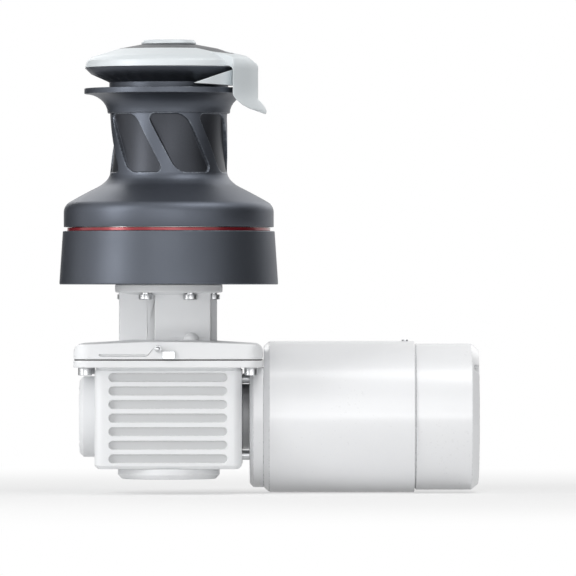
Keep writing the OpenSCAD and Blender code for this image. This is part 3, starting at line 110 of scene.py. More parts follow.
class Term:
    """An output socket of a node tree, with operators that add Math nodes."""

    def __init__(self, nodes: "Nodes", socket: bpy.types.NodeSocket) -> None:
        """Keeps the socket and the node maker that expressions use."""
        self.nodes = nodes
        self.socket = socket

    def math(self, operation: str, *others: "Term | float") -> "Term":
        """Adds one Math node.

        Args:
            operation: the node's operation.
            others: the values or terms of its other sockets.

        Returns:
            The node's value.
        """
        values = {0: self} | {i + 1: other for i, other in enumerate(others)}
        return self.nodes.term("ShaderNodeMath", {"operation": operation}, values)

    def __add__(self, other: "Term | float") -> "Term":
        """Sum."""
        return self.math("ADD", other)

    def __sub__(self, other: "Term | float") -> "Term":
        """Difference."""
        return self.math("SUBTRACT", other)

    def __rsub__(self, other: float) -> "Term":
        """Difference from a number."""
        return self.nodes.term("ShaderNodeMath", {"operation": "SUBTRACT"}, {0: other, 1: self})

    def __mul__(self, other: "Term | float") -> "Term":
        """Product."""
        return self.math("MULTIPLY", other)

    def __truediv__(self, other: "Term | float") -> "Term":
        """Quotient."""
        return self.math("DIVIDE", other)

    def __pow__(self, other: "Term | float") -> "Term":
        """Power."""
        return self.math("POWER", other)

    def __abs__(self) -> "Term":
        """Absolute value."""
        return self.math("ABSOLUTE")

    def held(self) -> "Term":
        """The value kept between 0 and 1."""
        return self.math("MINIMUM", 1.0).math("MAXIMUM", 0.0)


class Nodes:
    """Makes the nodes of one tree."""

    @classmethod
    def on(cls, owner: bpy.types.Material | bpy.types.World) -> "Nodes":
        """A node maker for the emptied tree of a material or world."""
        owner.use_nodes = True
        owner.node_tree.nodes.clear()
        return cls(owner.node_tree)

    def __init__(self, tree: bpy.types.NodeTree) -> None:
        """Keeps the tree."""
        self.tree = tree

    def make(self, kind: str, settings: dict | None = None, values: dict | None = None) -> bpy.types.Node:
        """Adds a node.

        Args:
            kind: the node's type.
            settings: its properties; "stops" holds a ramp's positions and colours.
            values: numbers, vectors or terms for its inputs, by name or number.

        Returns:
            The node.
        """
        node = self.tree.nodes.new(kind)
        for name, value in (settings or {}).items():
            if name == "stops":
                ramp = node.color_ramp
                while len(ramp.elements) < len(value):
                    ramp.elements.new(1.0)
                for element, (place, colour) in zip(ramp.elements, value):
                    element.position = place
                    element.color = (*colour, 1.0)
            else:
                setattr(node, name, value)
        for key, value in (values or {}).items():
            if isinstance(value, Term):
                self.tree.links.new(value.socket, node.inputs[key])
            elif isinstance(value, tuple) and len(value) == 3 and node.inputs[key].type == "RGBA":
                node.inputs[key].default_value = (*value, 1.0)
            else:
                node.inputs[key].default_value = value
        return node

    def term(self, kind: str, settings: dict | None = None, values: dict | None = None,
             output: int | str = 0) -> Term:
        """Adds a node and returns one of its outputs."""
        return Term(self, self.make(kind, settings, values).outputs[output])

    def noise(self, where: Term, scale: float, detail: float = 2.0, rough: float = 0.5) -> Term:
        """Noise from 0 to 1, with about scale features in a metre."""
        return self.term("ShaderNodeTexNoise", {}, {
            "Vector": where, "Scale": scale, "Detail": detail, "Roughness": rough})

    def steps(self, value: Term, low: float, high: float, smooth: bool = True) -> Term:
        """0 below low and 1 above high, with a soft step between them."""
        kind = "SMOOTHSTEP" if smooth else "LINEAR"
        return self.term("ShaderNodeMapRange", {"interpolation_type": kind}, {
            "Value": value, "From Min": low, "From Max": high})

    def blend(self, share: Term | float, first: "Term | Colour", second: "Term | Colour") -> Term:
        """Mix of two colours."""
        return self.term("ShaderNodeMix", {"data_type": "RGBA"}, {0: share, 6: first, 7: second}, 2)

    def vector(self, x: "Term | float", y: "Term | float", z: "Term | float") -> Term:
        """Vector of three values."""
        return self.term("ShaderNodeCombineXYZ", {}, {0: x, 1: y, 2: z})

    def mark(self, name: str) -> Term:
        """A value that the mesh carries under this name."""
        return self.term("ShaderNodeAttribute", {"attribute_name": name}, {}, "Fac")

    def radius(self, x: Term, y: Term) -> Term:
        """Distance from an axis, from the places along the other two."""
        return (x * x + y * y).math("SQRT")

    def parts(self, vector: Term) -> tuple[Term, Term, Term]:
        """The three values of a vector."""
        node = self.make("ShaderNodeSeparateXYZ", {}, {0: vector})
        return tuple(Term(self, node.outputs[i]) for i in range(3))


# Finishes


@dataclass(frozen=True)
class Finish:
    """A procedural surface: colour variation, roughness, relief and worn edges.

    The sizes of patterns are in features per metre and relief is in metres.
    """

    label: str
    slot: Slot
    tint: Colour
    shade: Colour
    worn: Colour
    metallic: float
    roughness: float
    spread: float = 0.10
    grain: float = 900.0
    relief: float = 0.00003
    coat: float = 0.0
    wear: float = 0.5
    patch: float = 22.0
    centre: Point = (0.0, 0.0, 0.0)
    axis: Axis = Axis.Z

    def texture(self, n: Nodes, where: Term) -> tuple[Term, Term]:
        """The pattern that tints the surface and the height of its relief, both 0 to 1."""
        fine = n.noise(where, self.grain, 3.0)
        return fine, fine

    def tone(self, n: Nodes, base: Term, where: Term) -> Term:
        """Colour before wear; finishes with painted shade in slots, or panel floors of their own colour,
        change it.
        """
        return base

    def build(self) -> bpy.types.Material:
        """Makes the material.

        Returns:
            A material with a Principled shader fed by the finish's nodes.
        """
        material = bpy.data.materials.new(self.label)
        n = Nodes.on(material)
        coords = n.term("ShaderNodeTexCoord", {}, {}, "Object")
        shift = Matrix.Rotation(self.axis.value[1], 3, "Y") @ Vector(self.centre)
        where = n.term("ShaderNodeMapping", {}, {
            "Vector": coords, "Location": tuple(-v for v in shift), "Rotation": self.axis.value})
        pattern, height = self.texture(n, where)
        cloud = n.noise(where, self.patch, 4.0, 0.6)
        share = (cloud * 0.75 + pattern * 0.35 - 0.05).held()
        base = self.tone(n, n.blend(share, self.tint, self.shade), where)
        edge = n.mark("edge")
        chips = n.steps(n.noise(where, 260.0, 5.0, 0.7), 0.36, 0.66)
        worn = (edge * chips * self.wear).held()
        colour = n.blend(worn, base, self.worn)
        rough = (cloud * self.spread + pattern * self.spread - worn * 0.12
                 + (self.roughness - self.spread)).held()
        normal = n.term("ShaderNodeBump", {}, {
            "Strength": 0.6, "Distance": self.relief, "Height": height}, "Normal")
        shader = n.term("ShaderNodeBsdfPrincipled", {}, {
            "Base Color": colour, "Roughness": rough, "Metallic": self.metallic,
            "Coat Weight": self.coat, "Coat Roughness": 0.12, "Normal": normal})
        n.make("ShaderNodeOutputMaterial", {}, {"Surface": shader})
        return material


@dataclass(frozen=True)
class TurnedFinish(Finish):
    """Metal turned on a lathe: fine rings round the axis."""

    pitch: float = 1500.0

    def texture(self, n: Nodes, where: Term) -> tuple[Term, Term]:
        """Rings that follow the distance from the axis and the place along it."""
        x, y, z = n.parts(where)
        rings = n.noise(n.vector(n.radius(x, y) * self.pitch, 0.0, z * self.pitch), 1.0, 3.0, 0.65)
        speck = n.noise(where, self.grain, 2.0)
        return rings * 0.7 + speck * 0.3, rings * 0.6 + speck * 0.4


@dataclass(frozen=True)
class DrumFinish(TurnedFinish):
    """Hard anodised drum: the floors of the grip panels are blasted, the rest is turned."""

    floor_tint: Colour = (0.045, 0.048, 0.056)

    def tone(self, n: Nodes, base: Term, where: Term) -> Term:
        """Gives the panel floors their own grey."""
        panel = n.mark("panel")
        sand = n.noise(where, 1400.0, 2.0)
        return n.blend((panel * (sand * 0.3 + 0.78)).held(), base, self.floor_tint)


@dataclass(frozen=True)
class CastFinish(Finish):
    """Casting: a sandy skin with small pits."""

    # share of the tint that the painted shade in slot floors keeps
    painted_shade_share: float = 0.72

    def texture(self, n: Nodes, where: Term) -> tuple[Term, Term]:
        """Sand grain with pits."""
        sand = n.noise(where, self.grain, 4.0, 0.6)
        cell = n.term("ShaderNodeTexVoronoi", {}, {"Vector": where, "Scale": self.grain * 0.28}, "Distance")
        pits = n.steps(cell, 0.05, 0.22)
        return sand, sand * 0.55 + pits * 0.45

    def tone(self, n: Nodes, base: Term, where: Term) -> Term:
        """Paints shade into the floors of slots and pockets: a darker grey of the tint where the mesh is
        marked.
        """
        # painted shade: marked slot floors blend towards this darker grey
        grey = tuple(v * self.painted_shade_share for v in self.tint)
        return n.blend((n.mark("recess") * 0.85).held(), base, grey)


@dataclass(frozen=True)
class PaintFinish(Finish):
    """Sprayed paint: a soft orange peel under a clear gloss."""

    def texture(self, n: Nodes, where: Term) -> tuple[Term, Term]:
        """Orange peel with a few specks of dust."""
        peel = n.noise(where, self.grain * 0.45, 1.0, 0.4)
        dust = n.steps(n.noise(where, self.grain * 1.9, 2.0), 0.70, 0.80)
        return peel * 0.9 + dust * 0.1, peel * 0.96 + dust * 0.04


@dataclass(frozen=True)
class WoundFinish(Finish):
    """Windings: enamelled wire lying side by side along the motor's axis."""

    def texture(self, n: Nodes, where: Term) -> tuple[Term, Term]:
        """Wire round the axis, with tints that differ from wire to wire."""
        x, y, z = n.parts(where)
        turn = y.math("ARCTAN2", x)
        strand = (turn * 140.0 + z * 900.0).math("SINE") * 0.5 + 0.5
        return n.noise(where, 180.0, 2.0) * 0.5 + strand * 0.4, strand


MOTOR_AXIS = (0.0, 0.044, -0.1195)

FINISHES: dict[Slot, Finish] = {f.slot: f for f in (
    TurnedFinish("hard_anodised_grey", Slot.DECK_GREY, (0.096, 0.106, 0.126), (0.071, 0.079, 0.096),
                 (0.3, 0.32, 0.35), metallic=0.85, roughness=0.46, spread=0.09, grain=1100.0,
                 relief=0.000012, wear=0.55, patch=16.0),
    Finish("red_anodised_ring", Slot.TRIM_RED, (0.36, 0.024, 0.036), (0.25, 0.013, 0.022),
           (0.55, 0.15, 0.15), metallic=0.35, roughness=0.3, spread=0.08, grain=800.0, relief=0.00001,
           coat=0.4),
    CastFinish("satin_silver_casting", Slot.ARM_SILVER, (0.68, 0.72, 0.74), (0.6, 0.64, 0.66),
               (0.78, 0.8, 0.81), metallic=0.12, roughness=0.5, spread=0.08, grain=1300.0, relief=0.00001,
               coat=0.15, wear=0.6, patch=18.0),
    Finish("moulded_dark_cover", Slot.COVER_BLACK, (0.03, 0.033, 0.038), (0.02, 0.023, 0.027),
           (0.12, 0.125, 0.13), metallic=0.0, roughness=0.42, spread=0.12, grain=1600.0, relief=0.00002),
    CastFinish("pale_casting", Slot.CAST_PALE, (0.83, 0.84, 0.85), (0.77, 0.78, 0.795), (0.9, 0.9, 0.9),
               metallic=0.0, roughness=0.5, spread=0.12, relief=0.00004, wear=0.7, patch=14.0),
    PaintFinish("pale_motor_paint", Slot.MOTOR_PALE, (0.89, 0.895, 0.905), (0.85, 0.86, 0.875),
                (0.62, 0.63, 0.64), metallic=0.0, roughness=0.3, spread=0.08, relief=0.00001, coat=0.35,
                wear=0.35, patch=9.0),
    TurnedFinish("stainless_screws", Slot.SCREW_STEEL, (0.62, 0.63, 0.64), (0.48, 0.49, 0.5),
                 (0.85, 0.85, 0.85), metallic=1.0, roughness=0.3, grain=1500.0, relief=0.000008, wear=0.7,
                 patch=120.0),
    TurnedFinish("oiled_gear_steel", Slot.GEAR_STEEL, (0.5, 0.5, 0.5), (0.36, 0.36, 0.355),
                 (0.72, 0.72, 0.7), metallic=1.0, roughness=0.28, grain=1300.0, relief=0.00001, coat=0.3,
                 wear=0.6, patch=60.0),
    TurnedFinish("turned_bronze", Slot.BRONZE, (0.55, 0.37, 0.17), (0.4, 0.26, 0.11), (0.78, 0.6, 0.34),
                 metallic=1.0, roughness=0.34, spread=0.12, grain=1200.0, relief=0.00001, wear=0.6,
                 patch=40.0),
    WoundFinish("enamelled_copper", Slot.COPPER, (0.58, 0.22, 0.09), (0.36, 0.12, 0.05),
                (0.8, 0.42, 0.24), metallic=0.7, roughness=0.32, relief=0.00012, coat=0.3, wear=0.4,
                patch=40.0, centre=MOTOR_AXIS, axis=Axis.X),
    Finish("seal_rubber_black", Slot.SEAL_RUBBER, (0.022, 0.022, 0.024), (0.034, 0.034, 0.036),
           (0.07, 0.07, 0.07), metallic=0.0, roughness=0.62, grain=1400.0, wear=0.3),
    CastFinish("sintered_magnet", Slot.MAGNET_BLACK, (0.05, 0.05, 0.055), (0.032, 0.032, 0.035),
               (0.16, 0.16, 0.16), metallic=0.2, roughness=0.55, spread=0.12, grain=1500.0, relief=0.00004),
    CastFinish("pressed_carbon", Slot.CARBON, (0.03, 0.03, 0.03), (0.018, 0.018, 0.018), (0.1, 0.1, 0.1),
               metallic=0.0, roughness=0.6, spread=0.12, grain=1700.0),
    Finish("laminate_insulator", Slot.INSULATOR, (0.25, 0.12, 0.05), (0.17, 0.08, 0.035),
           (0.42, 0.26, 0.14), metallic=0.0, roughness=0.48, grain=1200.0),
)}

DRUM_FINISH = DrumFinish("hard_anodised_drum", Slot.DECK_GREY, (0.104, 0.115, 0.138),
                         (0.075, 0.084, 0.103), (0.32, 0.35, 0.39), metallic=0.85, roughness=0.44,
                         spread=0.09, grain=1100.0, relief=0.000012, wear=0.65, patch=16.0)


def linked(name: str, data: bpy.types.ID) -> bpy.types.Object:
    """A new object in the scene's collection."""
    thing = bpy.data.objects.new(name, data)
    bpy.context.collection.objects.link(thing)
    return thing


class Workshop:
    """Materials by finish, and the places of the CAD nodes in the record."""

    def __init__(self) -> None:
        """Reads the record that came with the frame."""
        record = frame["record"]
        self.slot_of = {p["node"]: Slot(p["material_slot"]) for p in record["subparts"]}
        self.body_of = {node: body for body, nodes in record["behaviour"]["bodies"].items()
                        for node in nodes}
        self.materials: dict[str, bpy.types.Material] = {}

    def material(self, finish: Finish) -> bpy.types.Material:
        """The material of a finish, made at its first use."""
        if finish.label not in self.materials:
            self.materials[finish.label] = finish.build()
        return self.materials[finish.label]

    def finish_of(self, node: str) -> Finish:
        """The finish of a CAD node's slot."""
        return FINISHES[self.slot_of[node]]

    def paint_node(self, node: str) -> None:
        """Gives a CAD node that stays its material."""
        data = frame["nodes"][node].data
        data.materials.clear()
        data.materials.append(self.material(self.finish_of(node)))

    def place(self, name: str, mesh: bpy.types.Mesh, nodes: list[str],
              finish: Finish | None = None) -> bpy.types.Object:
        """Puts a finished mesh in the scene in place of CAD nodes.

        Args:
            name: the piece's name.
            mesh: its mesh, in the row frame.
            nodes: the CAD nodes that it stands for; all ride on one body.
            finish: its finish, or None for the finish of the first node's slot.

        Returns:
            The object, riding on the nodes' body.
        """
        finish = finish or self.finish_of(nodes[0])
        mesh.materials.clear()
        mesh.materials.append(self.material(finish))
        piece = linked(name, mesh)
        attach(piece, self.body_of[nodes[0]])
        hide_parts(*nodes)
        LOG.info("%s: %d faces for %s", name, len(mesh.polygons), ", ".join(nodes))
        return piece

    def ease(self, width: float, **names: str) -> None:
        """Puts eased copies of CAD nodes in the scene, each node with its piece's name."""
        for node, name in names.items():
            self.place(name, eased_copy(node, width), [node])


# Mesh making


@contextmanager
def edited(mesh: bpy.types.Mesh, source: bpy.types.Mesh | None = None) -> Iterator[bmesh.types.BMesh]:
    """The geometry of source, or of mesh itself, for editing; it goes into mesh at the end."""
    bm = bmesh.new()
    bm.from_mesh(source or mesh)
    yield bm
    bm.to_mesh(mesh)
    bm.free()


def evaluated_mesh(source: bpy.types.Object) -> bpy.types.Mesh:
    """The mesh of an object with its modifiers applied; the object is removed.

    Args:
        source: an object of the scene's collection.

    Returns:
        A new mesh.
    """
    graph = bpy.context.evaluated_depsgraph_get()
    graph.update()
    mesh = bpy.data.meshes.new_from_object(
        source.evaluated_get(graph), preserve_all_data_layers=True, depsgraph=graph)
    bpy.data.objects.remove(source)
    return mesh


def new_mesh(name: str, points: list[Point], faces: list[tuple[int, ...]]) -> bpy.types.Mesh:
    """A mesh of points and of faces between them."""
    mesh = bpy.data.meshes.new(name)
    mesh.from_pydata(points, [], faces)
    return mesh


def ring_faces(count: int, rows: int) -> list[tuple[int, ...]]:
    """Faces between columns of points that stand round an axis, each column a closed outline."""
    faces = []
    for i in range(count):
        here, there = i * rows, (i + 1) % count * rows
        for k in range(rows):
            j = (k + 1) % rows
            faces.append((here + k, there + k, there + j, here + j))
    return faces


def lathe(name: str, profile: Outline, count: int) -> bpy.types.Mesh:
    """A closed body of revolution about Z.

    Args:
        name: the mesh's name.
        profile: closed outline as radius and height; points with radius 0 lie on the axis.
        count: steps round the axis.

    Returns:
        The mesh, with smooth faces.
    """
    points = []
    for turn in (math.tau * i / count for i in range(count)):
        points += [(r * math.cos(turn), r * math.sin(turn), z) for r, z in profile]
    mesh = new_mesh(name, points, ring_faces(count, len(profile)))
    with edited(mesh) as bm:
        bmesh.ops.remove_doubles(bm, verts=bm.verts, dist=1e-7)
        bmesh.ops.recalc_face_normals(bm, faces=bm.faces)
    mesh.shade_smooth()
    return mesh


def rounded(points: Outline, per_span: int) -> Outline:
    """A smooth line through points, as a Catmull-Rom curve."""
    padded = [points[0], *points, points[-1]]
    line = []
    for a, b, c, d in zip(padded, padded[1:], padded[2:], padded[3:]):
        for i in range(per_span):
            t = i / per_span
            line.append(tuple(
                0.5 * (2 * q + (r - p) * t + (2 * p - 5 * q + 4 * r - s) * t * t
                       + (3 * q - p - 3 * r + s) * t ** 3)
                for p, q, r, s in zip(a, b, c, d)))
    return line + [points[-1]]


def sharpen(mesh: bpy.types.Mesh, degrees: float) -> None:
    """Marks the edges of a smooth mesh that stay sharp."""
    mesh.shade_smooth()
    mesh.set_sharp_from_angle(angle=math.radians(degrees))


def joined_faces(source: bpy.types.Mesh, name: str) -> bpy.types.Mesh:
    """A copy of a mesh with merged points, whose flat faces are cut into well-shaped triangles."""
    mesh = bpy.data.meshes.new(name)
    with edited(mesh, source) as bm:
        bmesh.ops.remove_doubles(bm, verts=bm.verts, dist=2e-6)
        bmesh.ops.dissolve_limit(bm, angle_limit=math.radians(0.15), verts=bm.verts, edges=bm.edges)
        large = [face for face in bm.faces if len(face.verts) > 4]
        bmesh.ops.triangulate(bm, faces=large, quad_method="BEAUTY", ngon_method="BEAUTY")
    return mesh


def clean_copy(node: str) -> bpy.types.Mesh:
    """A copy of a CAD node with its points merged and its flat faces joined."""
    return joined_faces(frame["nodes"][node].data, f"{node}_copy")


def modified(mesh: bpy.types.Mesh, kind: str, settings: dict[str, object]) -> bpy.types.Mesh:
    """A mesh with one modifier applied.

    Args:
        mesh: the mesh to work on.
        kind: the modifier's type.
        settings: the modifier's properties.

    Returns:
        The new mesh.
    """
    body = linked(mesh.name, mesh)
    step = body.modifiers.new("step", kind)
    for name, value in settings.items():
        setattr(step, name, value)
    return evaluated_mesh(body)


def combined(mesh: bpy.types.Mesh, tool: bpy.types.Mesh, operation: str) -> bpy.types.Mesh:
    """A mesh joined with or cut by another one.

    Args:
        mesh: the mesh to work on.
        tool: the closed mesh that is added or cut away.
        operation: "UNION" or "DIFFERENCE".

    Returns:
        The new mesh, with its flat faces joined again.
    """
    for part in (mesh, tool):
        with edited(part) as bm:
            bmesh.ops.triangulate(bm, faces=bm.faces)
    other = linked("tool", tool)
    done = modified(mesh, "BOOLEAN", {
        "operation": operation, "solver": "EXACT", "object": other, "use_self": True})
    bpy.data.objects.remove(other)
    return joined_faces(done, mesh.name)


def eased(mesh: bpy.types.Mesh, width: float, degrees: float = 32.0, segments: int = 2) -> bpy.types.Mesh:
    """Eases the edges of a mesh, as a deburred or cast part has them.

    Args:
        mesh: the mesh to work on.
        width: width of the eased edge.
        degrees: edges that turn more than this are eased.
        segments: steps across an eased edge.

    Returns:
        A mesh with the attribute "edge", which is 1 along the eased edges.
    """
    mesh.shade_smooth()
    mesh.materials.clear()
    mesh.materials.append(None)
    mesh.materials.append(None)
    done = modified(mesh, "BEVEL", {
        "width": width, "segments": segments, "limit_method": "ANGLE",
        "angle_limit": math.radians(degrees), "use_clamp_overlap": False, "loop_slide": False,
        "miter_outer": "MITER_ARC", "material": 1})
    mark_edges(done)
    return even_normals(done)


def even_normals(mesh: bpy.types.Mesh, degrees: float = 40.0) -> bpy.types.Mesh:
    """Lets large faces set the shading, so that flat faces look flat beside eased edges."""
    sharpen(mesh, degrees)
    return modified(mesh, "WEIGHTED_NORMAL", {"keep_sharp": True, "weight": 50})


def eased_copy(node: str, width: float) -> bpy.types.Mesh:
    """A copy of a CAD node with its edges eased."""
    return eased(clean_copy(node), width)


def block(low: Point, high: Point) -> bpy.types.Mesh:
    """A closed block between two corners, for cutting and joining."""
    size = [b - a for a, b in zip(low, high)]
    middle = [(a + b) / 2 for a, b in zip(low, high)]
    mesh = bpy.data.meshes.new("block")
    with edited(mesh) as bm:
        matrix = Matrix.Translation(middle) @ Matrix.Diagonal((*size, 1.0))
        bmesh.ops.create_cube(bm, size=1.0, matrix=matrix)
    return mesh


def mark_edges(mesh: bpy.types.Mesh) -> None:
    """Writes the attribute "edge" from the faces that an eased edge made, then clears their mark."""
    eased = [False] * len(mesh.vertices)
    plain = [False] * len(mesh.vertices)
    for face in mesh.polygons:
        flags = eased if face.material_index == 1 else plain
        for i in face.vertices:
            flags[i] = True
        face.material_index = 0
    layer = mesh.attributes.new("edge", "FLOAT", "POINT")
    for i, value in enumerate(layer.data):
        value.value = float(eased[i] and not plain[i])


def mark_painted_shade(mesh: bpy.types.Mesh, rule: Callable[[Vector], float]) -> bpy.types.Mesh:
    """Writes the attribute that paints shade into cooling slots, from 0 to 1, by a rule on the place of
    each point.
    """
    layer = mesh.attributes.new("recess", "FLOAT", "POINT")
    for point, value in zip(mesh.vertices, layer.data):
        value.value = rule(point.co)
    return mesh


# Geometry Nodes


class Builder:
    """A Geometry Nodes tree with named inputs that ends in realised, dressed geometry."""

    def __init__(self, name: str) -> None:
        """Makes an empty tree with a geometry input and output."""
        self.tree = bpy.data.node_groups.new(name, "GeometryNodeTree")
        self.sockets: dict[str, str] = {}
        self.add_socket("Geometry", "NodeSocketGeometry")
        self.tree.interface.new_socket("Geometry", in_out="OUTPUT", socket_type="NodeSocketGeometry")
        self.nodes = Nodes(self.tree)
        self.inlet = self.tree.nodes.new("NodeGroupInput")

    def add_socket(self, name: str, kind: str) -> None:
        """Adds a named input to the tree."""
        socket = self.tree.interface.new_socket(name, in_out="INPUT", socket_type=kind)
        self.sockets[name] = socket.identifier

    def input(self, name: str, kind: str = "NodeSocketFloat") -> Term:
        """A named input of the tree, as a term."""
        if name not in self.sockets:
            self.add_socket(name, kind)
        return Term(self.nodes, self.inlet.outputs[name])

    def polar(self) -> tuple[Term, Term, Term, Callable[[Term], Term]]:
        """Radius, angle and height of the points, and the function that turns a length outwards."""
        n = self.nodes
        x, y, z = n.parts(n.term("GeometryNodeInputPosition"))
        radius = n.radius(x, y)

        def outward(length: Term) -> Term:
            """A vector of this length away from Z."""
            return n.vector(x / radius * length, y / radius * length, 0.0)

        return radius, y.math("ARCTAN2", x), z, outward

    def stored(self, geometry: Term, name: str, value: Term) -> Term:
        """The geometry with a value kept on its points under a name."""
        settings = {"data_type": "FLOAT", "domain": "POINT"}
        return self.nodes.term("GeometryNodeStoreNamedAttribute", settings, {
            "Geometry": geometry, "Name": name, "Value": value})

    def shifted(self, geometry: Term, offset: Term) -> Term:
        """The geometry with its points moved."""
        return self.nodes.term("GeometryNodeSetPosition", {}, {"Geometry": geometry, "Offset": offset})

    def close(self, geometry: Term, material: bpy.types.Material) -> None:
        """Ends the tree with Realize Instances and Set Material."""
        real = self.nodes.term("GeometryNodeRealizeInstances", {}, {"Geometry": geometry})
        dressed = self.nodes.term("GeometryNodeSetMaterial", {}, {"Geometry": real, "Material": material})
        self.nodes.make("NodeGroupOutput", {}, {0: dressed})

    def run(self, mesh: bpy.types.Mesh, values: dict[str, object]) -> bpy.types.Mesh:
        """Applies the tree to a mesh.

        Args:
            mesh: what the tree starts from.
            values: the tree's inputs by name.

        Returns:
            The new mesh.
        """
        body = linked(mesh.name, mesh)
        step = body.modifiers.new("nodes", "NODES")
        step.node_group = self.tree
        for name, value in values.items():
            step[self.sockets[name]] = value
        body.update_tag()
        return evaluated_mesh(body)


class ScrewRow:
    """Socket head screws on points that face along their own axes."""

    def __init__(self, shop: Workshop) -> None:
        """Builds the tree once for all rows."""
        self.shop = shop
        b = Builder("screw_row")
        n = b.nodes
        head = n.term("GeometryNodeObjectInfo", {"transform_space": "ORIGINAL"},
                      {"Object": b.input("Screw", "NodeSocketObject")}, "Geometry")
        facing = n.term("GeometryNodeInputNamedAttribute", {"data_type": "FLOAT_VECTOR"},
                        {"Name": "facing"})
        aligned = n.term("FunctionNodeAlignRotationToVector", {"axis": "Z"}, {"Vector": facing})
        spin = n.term("FunctionNodeRandomValue", {"data_type": "FLOAT"}, {
            2: 0.0, 3: math.pi / 3, "Seed": b.input("Seed", "NodeSocketInt")}, 1)
        turn = n.term("FunctionNodeAxisAngleToRotation", {}, {"Axis": (0.0, 0.0, 1.0), "Angle": spin})
        rotation = n.term("FunctionNodeRotateRotation", {"rotation_space": "LOCAL"}, {
            "Rotation": aligned, "Rotate By": turn})
        placed = n.term("GeometryNodeInstanceOnPoints", {}, {
            "Points": b.input("Geometry"), "Instance": head, "Rotation": rotation})
        b.close(placed, shop.material(FINISHES[Slot.SCREW_STEEL]))
        self.builder = b

    def make(self, name: str, node: str, seats: list[Seat], screw: "SocketScrew | TerminalPart | Stud",
             seed: int, finish: Finish | None = None) -> bpy.types.Object:
        """Makes a row of screws in place of a CAD node.

        Args:
            name: the piece's name.
            node: the CAD node that it replaces.
            seats: for each screw, the point under its head and the way that it faces.
            screw: the sizes of the screw, or of a part that is set the same way.
            seed: seed of the turn of the sockets.
            finish: its finish, or None for the finish of the node's slot.

        Returns:
            The placed piece.
        """
        points = new_mesh(name, [seat for seat, _ in seats], [])
        layer = points.attributes.new("facing", "FLOAT_VECTOR", "POINT")
        for value, (_, way) in zip(layer.data, seats):
            value.vector = way
        pattern = linked(f"{name}_pattern", screw.mesh())
        mesh = self.builder.run(points, {"Screw": pattern, "Seed": seed})
        bpy.data.objects.remove(pattern)
        sharpen(mesh, 35.0)
        return self.shop.place(name, mesh, [node], finish)


@dataclass(frozen=True)
class SocketScrew:
    """A screw with a knurled head and a hexagon socket, head up along Z, seat at the origin."""

    shank_r: float
    head_r: float
    head_h: float
    length: float
    steps: int = 48
    chamfer: float = 0.0005
    knurl: float = 0.00012

    def mesh(self) -> bpy.types.Mesh:
        """The screw's mesh."""
        socket_r = self.head_r * 0.46
        floor_z = self.head_h * 0.45
        rings = [
            (0.0, -self.length), (self.shank_r - self.chamfer, -self.length),
            (self.shank_r, self.chamfer - self.length), (self.shank_r, 0.0),
            (self.head_r - self.knurl, 0.0), (self.head_r, self.knurl * 2),
            (self.head_r, self.head_h - self.chamfer),
            (self.head_r - self.chamfer, self.head_h),
            (socket_r * 1.24, self.head_h), (socket_r * 1.12, self.head_h - self.chamfer / 2),
            (-socket_r, self.head_h - self.chamfer), (-socket_r, floor_z), (0.0, floor_z - 0.0006),
        ]
        mesh = bpy.data.meshes.new("socket_screw")
        with edited(mesh) as bm:
            loops = [self.loop(bm, r, z) for r, z in rings]
            for low, high in zip(loops, loops[1:]):
                for i in range(self.steps):
                    j = (i + 1) % self.steps
                    if len(low) == 1:
                        bm.faces.new((low[0], high[j], high[i]))
                    elif len(high) == 1:
                        bm.faces.new((low[i], low[j], high[0]))
                    else:
                        bm.faces.new((low[i], low[j], high[j], high[i]))
            bmesh.ops.recalc_face_normals(bm, faces=bm.faces)
        return mesh

    def loop(self, bm: bmesh.types.BMesh, r: float, z: float) -> list[bmesh.types.BMVert]:
        """One ring of points; a negative radius makes the socket's hexagon."""
        if r == 0.0:
            return [bm.verts.new((0.0, 0.0, z))]
        points = []
        for i in range(self.steps):
            turn = math.tau * i / self.steps
            reach = r
            if r < 0:
                reach = -r / math.cos((turn % (math.pi / 3)) - math.pi / 6)
            elif r == self.head_r and i % 2:
                reach = r - self.knurl
            points.append(bm.verts.new((reach * math.cos(turn), reach * math.sin(turn), z)))
        return points


def ring_seats(turns: Iterable[float], radius: float, height: float, up: float) -> list[Seat]:
    """Seats of screws on a circle round Z.

    Args:
        turns: the angle of each screw in degrees.
        radius: radius of the circle.
        height: height of the seats.
        up: 1 for heads that face up, -1 for heads that face down.

    Returns:
        Point and direction of each screw.
    """
    return [((radius * math.cos(math.radians(t)), radius * math.sin(math.radians(t)), height),
             (0.0, 0.0, up)) for t in turns]


def motor_seats(turns: Iterable[float], radius: float, place: float, way: float) -> list[Seat]:
    """Seats of screws on a circle round the motor's axis.

    Args:
        turns: the angle of each screw in degrees, from straight down.
        radius: radius of the circle.
        place: distance of the seats from the drum's axis.
        way: 1 for heads that face to the right, -1 for heads that face to the left.

    Returns:
        Point and direction of each screw.
    """
    _, y, z = MOTOR_AXIS
    return [((place, y + radius * math.sin(math.radians(t)), z - radius * math.cos(math.radians(t))),
             (way, 0.0, 0.0)) for t in turns]


@dataclass(frozen=True)
class TerminalPart:
    """One turned part of a terminal along Z, with its seat at the origin."""

    outline: Outline

    def mesh(self) -> bpy.types.Mesh:
        """The part's mesh."""
        return lathe("terminal_part", self.outline, 64)


